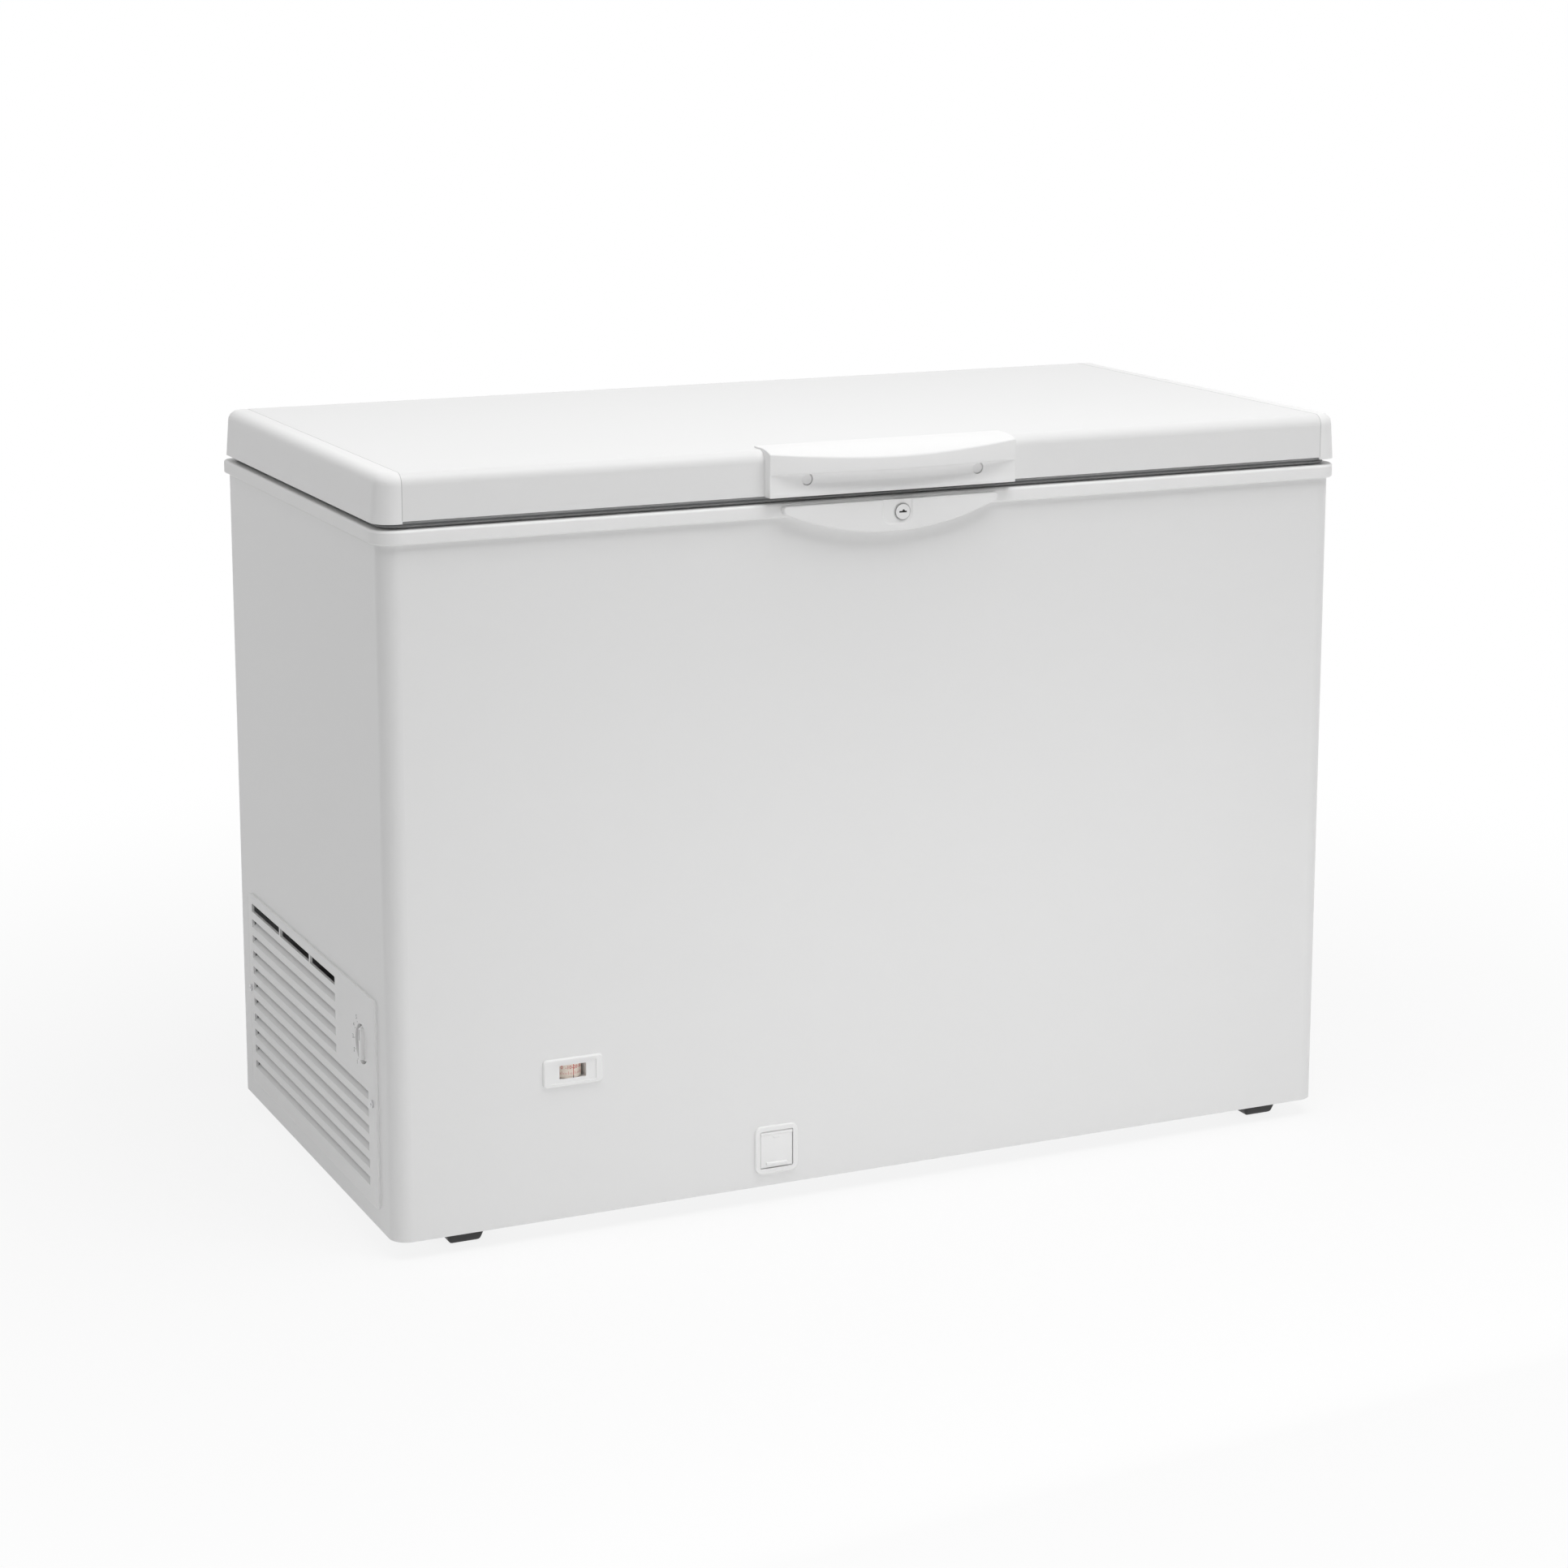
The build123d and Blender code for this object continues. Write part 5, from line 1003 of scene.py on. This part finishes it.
@dataclass
class Drain:
    """Drain outlet with its swinging flap."""

    edge: float = 0.8 * MM
    ledge_half: float = 12.5 * MM
    ledge_low: float = 6.0 * MM
    ledge_tall: float = 3.2 * MM
    tab_half: float = 4.0 * MM
    tab_low: float = 5.4 * MM
    tab_high: float = 2.9 * MM
    sunk: float = 0.7 * MM
    plate_deep: float = 3.0 * MM
    barrel_radius: float = 2.2 * MM

    def dress(self) -> None:
        """Give the drain's nodes their finishes."""
        WHITE_PLASTIC.dress_nodes("drain_frame")
        BRIGHT_STEEL.dress_nodes("drain_flap_pin")

    def build_flap(self) -> None:
        """Flap with rounded edges, a hinge barrel, a thumb tab and a finger ledge."""
        low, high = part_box("drain_flap")
        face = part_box("drain_frame")[0].y + self.sunk
        middle = face + self.plate_deep / 2
        centre_x = (low.x + high.x) / 2
        barrel_z = high.z - self.barrel_radius
        plate = Bench.slab("flap_plate", Vector((low.x, face, low.z)),
                           Vector((high.x, face + self.plate_deep, barrel_z + 1.0 * MM)), self.edge, 3)
        barrel = Bench.bar("flap_barrel", Vector((low.x, middle, barrel_z)),
                           Vector((high.x, middle, barrel_z)), self.barrel_radius, 32)
        ledge_z = low.z + self.ledge_low - 3.0 * MM
        ledge = Bench.slab("flap_ledge", Vector((centre_x - self.ledge_half, low.y, ledge_z)),
                           Vector((centre_x + self.ledge_half, middle, ledge_z + self.ledge_tall)),
                           1.1 * MM, 4)
        tab = Bench.slab("flap_tab",
                         Vector((centre_x - self.tab_half, face - 0.6 * MM, barrel_z - self.tab_low)),
                         Vector((centre_x + self.tab_half, middle, barrel_z - self.tab_high)), 0.5 * MM, 3)
        flap = Bench.join(plate, barrel, ledge, tab)
        Bench.mount(flap, Body.FLAP, WHITE_PLASTIC, "white_plastic", "drain_flap")


@dataclass
class SidePanel:
    """Louvred panel at the left end, with the thermostat's dial."""

    mark_radius: float = 29.5 * MM
    mark_size: float = 6.5 * MM
    dot_ring: float = 24.4 * MM
    dot_radius: float = 0.65 * MM
    dot_deep: float = 0.3 * MM
    first_mark: float = 124.0
    mark_step: float = 28.0

    def dress(self) -> None:
        """Give the panel's nodes their finishes."""
        WHITE_PLASTIC.dress_nodes("grille_panel", "thermostat_knob")
        SCREW_STEEL.dress_nodes("grille_screws")
        BLACK_PLASTIC.dress_nodes("thermostat_body")

    def build_marks(self) -> None:
        """Digits and dots round the knob and a line on its grip."""
        low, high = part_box("thermostat_knob")
        centre = (low + high) / 2
        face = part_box("grille_panel")[0].x
        pieces = []
        for index in range(5):
            turn = math.radians(self.first_mark + self.mark_step * index)
            out = Vector((0.0, -math.cos(turn), math.sin(turn)))
            middle = Vector((face - 0.02 * MM, centre.y, centre.z))
            pieces.append(Bench.lettering("dial_" + str(index), str(5 - index), self.mark_size, Facing.LEFT,
                                          middle + out * self.mark_radius))
            dot = middle + out * self.dot_ring
            pieces.append(Bench.bar("dot_" + str(index), dot, dot + Vector((self.dot_deep, 0.0, 0.0)),
                                    self.dot_radius, 16))
        marks = Bench.join(*pieces)
        marks.name = "dial_digits"
        Bench.mount(marks, Body.CABINET, DARK_INK, "black_plastic")
        line = Bench.slab("knob_line", Vector((low.x - 0.05 * MM, centre.y - 0.6 * MM, centre.z + 4.0 * MM)),
                          Vector((low.x + 0.3 * MM, centre.y + 0.6 * MM, high.z - 3.2 * MM)), 0.1 * MM)
        Bench.mount(line, Body.KNOB, DARK_INK, "black_plastic")


@dataclass
class Feet:
    """Four black feet under the base."""

    corner: float = 8.0 * MM
    screw_side: float = 9.0 * MM
    screw_radius: float = 6.2 * MM
    screw_deep: float = 10.0 * MM

    def build(self) -> None:
        """Tapered feet with a rounded sole, a collar at the top and a sunk screw seat."""
        for row in ("front", "rear"):
            for side in ("left", "right"):
                self.build_foot("foot_" + row + "_" + side)

    def build_foot(self, node: str) -> None:
        """One foot in the place of its node.

        Args:
            node: node of the frame that it stands for.
        """
        low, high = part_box(node)
        steps = ((20.0, 0.0), (17.2, 0.0), (16.8, 0.7), (12.0, 2.2), (6.5, 4.4), (4.0, 5.5), (2.2, 6.6),
                 (1.0, 7.8), (0.3, 9.2), (0.0, 10.8))
        rings = [level_loop(low, high, self.corner, self.corner, z * MM, sink * MM) for z, sink in steps]
        foot = Bench.loft(node.replace("foot", "sole"), rings)
        centre = (low + high) / 2
        seat = Vector((centre.x + self.screw_side, centre.y, 0.0))
        Bench.cut(foot, Bench.bar("screw_seat", seat + Vector((0.0, 0.0, -5.0 * MM)),
                                  seat + Vector((0.0, 0.0, self.screw_deep)), self.screw_radius))
        Bench.mount(foot, Body.CABINET, BLACK_PLASTIC, "black_plastic", node)


@dataclass
class Hinges:
    """Sprung hinges at the back."""

    sides: tuple[str, str] = ("left", "right")

    def dress(self) -> None:
        """Give the hinges' nodes their finishes."""
        for side in self.sides:
            ZINC.dress_nodes("hinge_base_" + side, "hinge_arm_" + side)
            BRIGHT_STEEL.dress_nodes("hinge_pin_" + side, "hinge_plunger_" + side, "hinge_spring_" + side)
        SCREW_STEEL.dress_nodes("hinge_base_screws", "hinge_arm_screws")


@dataclass
class Studio:
    """White studio with soft light from above and a camera at the front left."""

    eye: tuple[float, float, float] = (-1.59025, -3.4868, 1.32158)
    turn: float = -0.42918
    tilt: float = -0.18333
    lens: float = 78.716
    rise: float = -0.12
    floor_size: float = 60.0
    fade_near: float = 0.6
    fade_far: float = 1.9
    fade_share: float = 0.84
    sky: float = 0.30
    lamps: tuple[tuple[str, tuple[float, float, float], float, float, float], ...] = (
        ("overhead_lamp", (0.2, -1.1, 3.1), 50.0, 2.0, 2.0),
        ("left_lamp", (-2.3, -0.1, 3.0), 13.0, 2.0, 2.0),
        ("right_lamp", (2.5, 0.2, 0.95), 7.0, 1.6, 1.6),
        ("front_lamp", (0.1, -1.05, 0.22), 1.8, 1.8, 0.36))

    def build_floor(self) -> None:
        """Pale floor that keeps a faint shadow."""
        Bench.clear()
        bpy.ops.mesh.primitive_plane_add(size=self.floor_size)
        floor = bpy.context.object
        floor.name = "studio_floor"
        made = bpy.data.materials.new("studio_white")
        made.use_nodes = True
        tree = made.node_tree
        tree.nodes.clear()
        out = tree.nodes.new("ShaderNodeOutputMaterial")
        mix = tree.nodes.new("ShaderNodeMixShader")
        lit = tree.nodes.new("ShaderNodeBsdfDiffuse")
        lit.inputs["Color"].default_value = (0.86, 0.86, 0.86, 1.0)
        glow = tree.nodes.new("ShaderNodeEmission")
        reach = tree.nodes.new("ShaderNodeVectorMath")
        reach.operation = "LENGTH"
        tree.links.new(tree.nodes.new("ShaderNodeTexCoord").outputs["Object"], reach.inputs[0])
        fade = tree.nodes.new("ShaderNodeMapRange")
        fade.interpolation_type = "SMOOTHSTEP"
        fade.inputs["From Min"].default_value = self.fade_near
        fade.inputs["From Max"].default_value = self.fade_far
        fade.inputs["To Min"].default_value = self.fade_share
        tree.links.new(reach.outputs["Value"], fade.inputs["Value"])
        share = tree.nodes.new("ShaderNodeMath")
        share.operation = "MULTIPLY"
        tree.links.new(fade.outputs["Result"], share.inputs[1])
        tree.links.new(self.seen(tree), share.inputs[0])
        tree.links.new(share.outputs["Value"], mix.inputs["Fac"])
        tree.links.new(lit.outputs["BSDF"], mix.inputs[1])
        tree.links.new(glow.outputs["Emission"], mix.inputs[2])
        tree.links.new(mix.outputs["Shader"], out.inputs["Surface"])
        floor.data.materials.append(made)

    @staticmethod
    def seen(tree: bpy.types.NodeTree) -> bpy.types.NodeSocket:
        """Socket that is 1 where a ray comes from the camera, a reflection or glass."""
        path = tree.nodes.new("ShaderNodeLightPath")
        first = tree.nodes.new("ShaderNodeMath")
        first.operation = "MAXIMUM"
        second = tree.nodes.new("ShaderNodeMath")
        second.operation = "MAXIMUM"
        tree.links.new(path.outputs["Is Camera Ray"], first.inputs[0])
        tree.links.new(path.outputs["Is Glossy Ray"], first.inputs[1])
        tree.links.new(first.outputs["Value"], second.inputs[0])
        tree.links.new(path.outputs["Is Transmission Ray"], second.inputs[1])
        return second.outputs["Value"]

    def build_sky(self) -> None:
        """World that looks white and lights softly."""
        world = bpy.data.worlds.new("studio_world")
        bpy.context.scene.world = world
        world.use_nodes = True
        tree = world.node_tree
        glow = tree.nodes["Background"]
        glow.inputs["Color"].default_value = (1.0, 1.0, 1.0, 1.0)
        level = tree.nodes.new("ShaderNodeMapRange")
        level.inputs["To Min"].default_value = self.sky
        level.inputs["To Max"].default_value = 1.0
        tree.links.new(self.seen(tree), level.inputs["Value"])
        tree.links.new(level.outputs["Result"], glow.inputs["Strength"])

    def build_lamps(self) -> None:
        """Soft lamps overhead, at both ends and low in front."""
        for name, place, power, width, height in self.lamps:
            self.build_lamp(name, Vector(place), power, width, height)

    @staticmethod
    def build_lamp(name: str, place: Vector, power: float, width: float, height: float) -> None:
        """One soft lamp that looks at the middle of the freezer.

        Args:
            name: name of the lamp.
            place: where it stands.
            power: its power in watts.
            width: its width.
            height: its height.
        """
        Bench.clear()
        way = Vector((0.0, 0.0, 0.45)) - place
        bpy.ops.object.light_add(type="AREA", location=place,
                                 rotation=way.to_track_quat("-Z", "Y").to_euler())
        lamp = bpy.context.object
        lamp.name = name
        lamp.data.energy = power
        lamp.data.shape = "RECTANGLE"
        lamp.data.size = width
        lamp.data.size_y = height
        lamp.visible_camera = False
        lamp.visible_glossy = False

    def build_camera(self) -> None:
        """Camera at the front left, a little above the lid."""
        Bench.clear()
        bpy.ops.object.camera_add(location=self.eye, rotation=(math.pi / 2 + self.tilt, 0.0, self.turn))
        camera = bpy.context.object
        camera.name = "studio_camera"
        camera.data.lens = self.lens
        camera.data.sensor_width = 36.0
        camera.data.shift_y = self.rise
        bpy.context.scene.camera = camera

    def build(self) -> None:
        """Set up floor, sky, lamps, camera and view."""
        self.build_floor()
        self.build_sky()
        self.build_lamps()
        self.build_camera()
        bpy.context.scene.view_settings.view_transform = "Standard"


def main() -> None:
    """Build every sub-assembly in order, then the studio."""
    logging.basicConfig(level=logging.INFO, format="%(message)s")
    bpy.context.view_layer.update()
    cabinet = Cabinet()
    cabinet.dress()
    cabinet.build_foam_plugs()
    lid = Lid()
    lid.dress()
    lid.build_seams()
    lid.build_lining()
    lid.build_seal()
    Handle().build()
    lock = Lock()
    lock.build_plate()
    lock.build_keyhole()
    thermometer = Thermometer()
    thermometer.dress()
    thermometer.build_scale()
    thermometer.build_pointer()
    drain = Drain()
    drain.dress()
    drain.build_flap()
    panel = SidePanel()
    panel.dress()
    panel.build_marks()
    Feet().build()
    Hinges().dress()
    Studio().build()


if __name__ == "__main__":
    main()
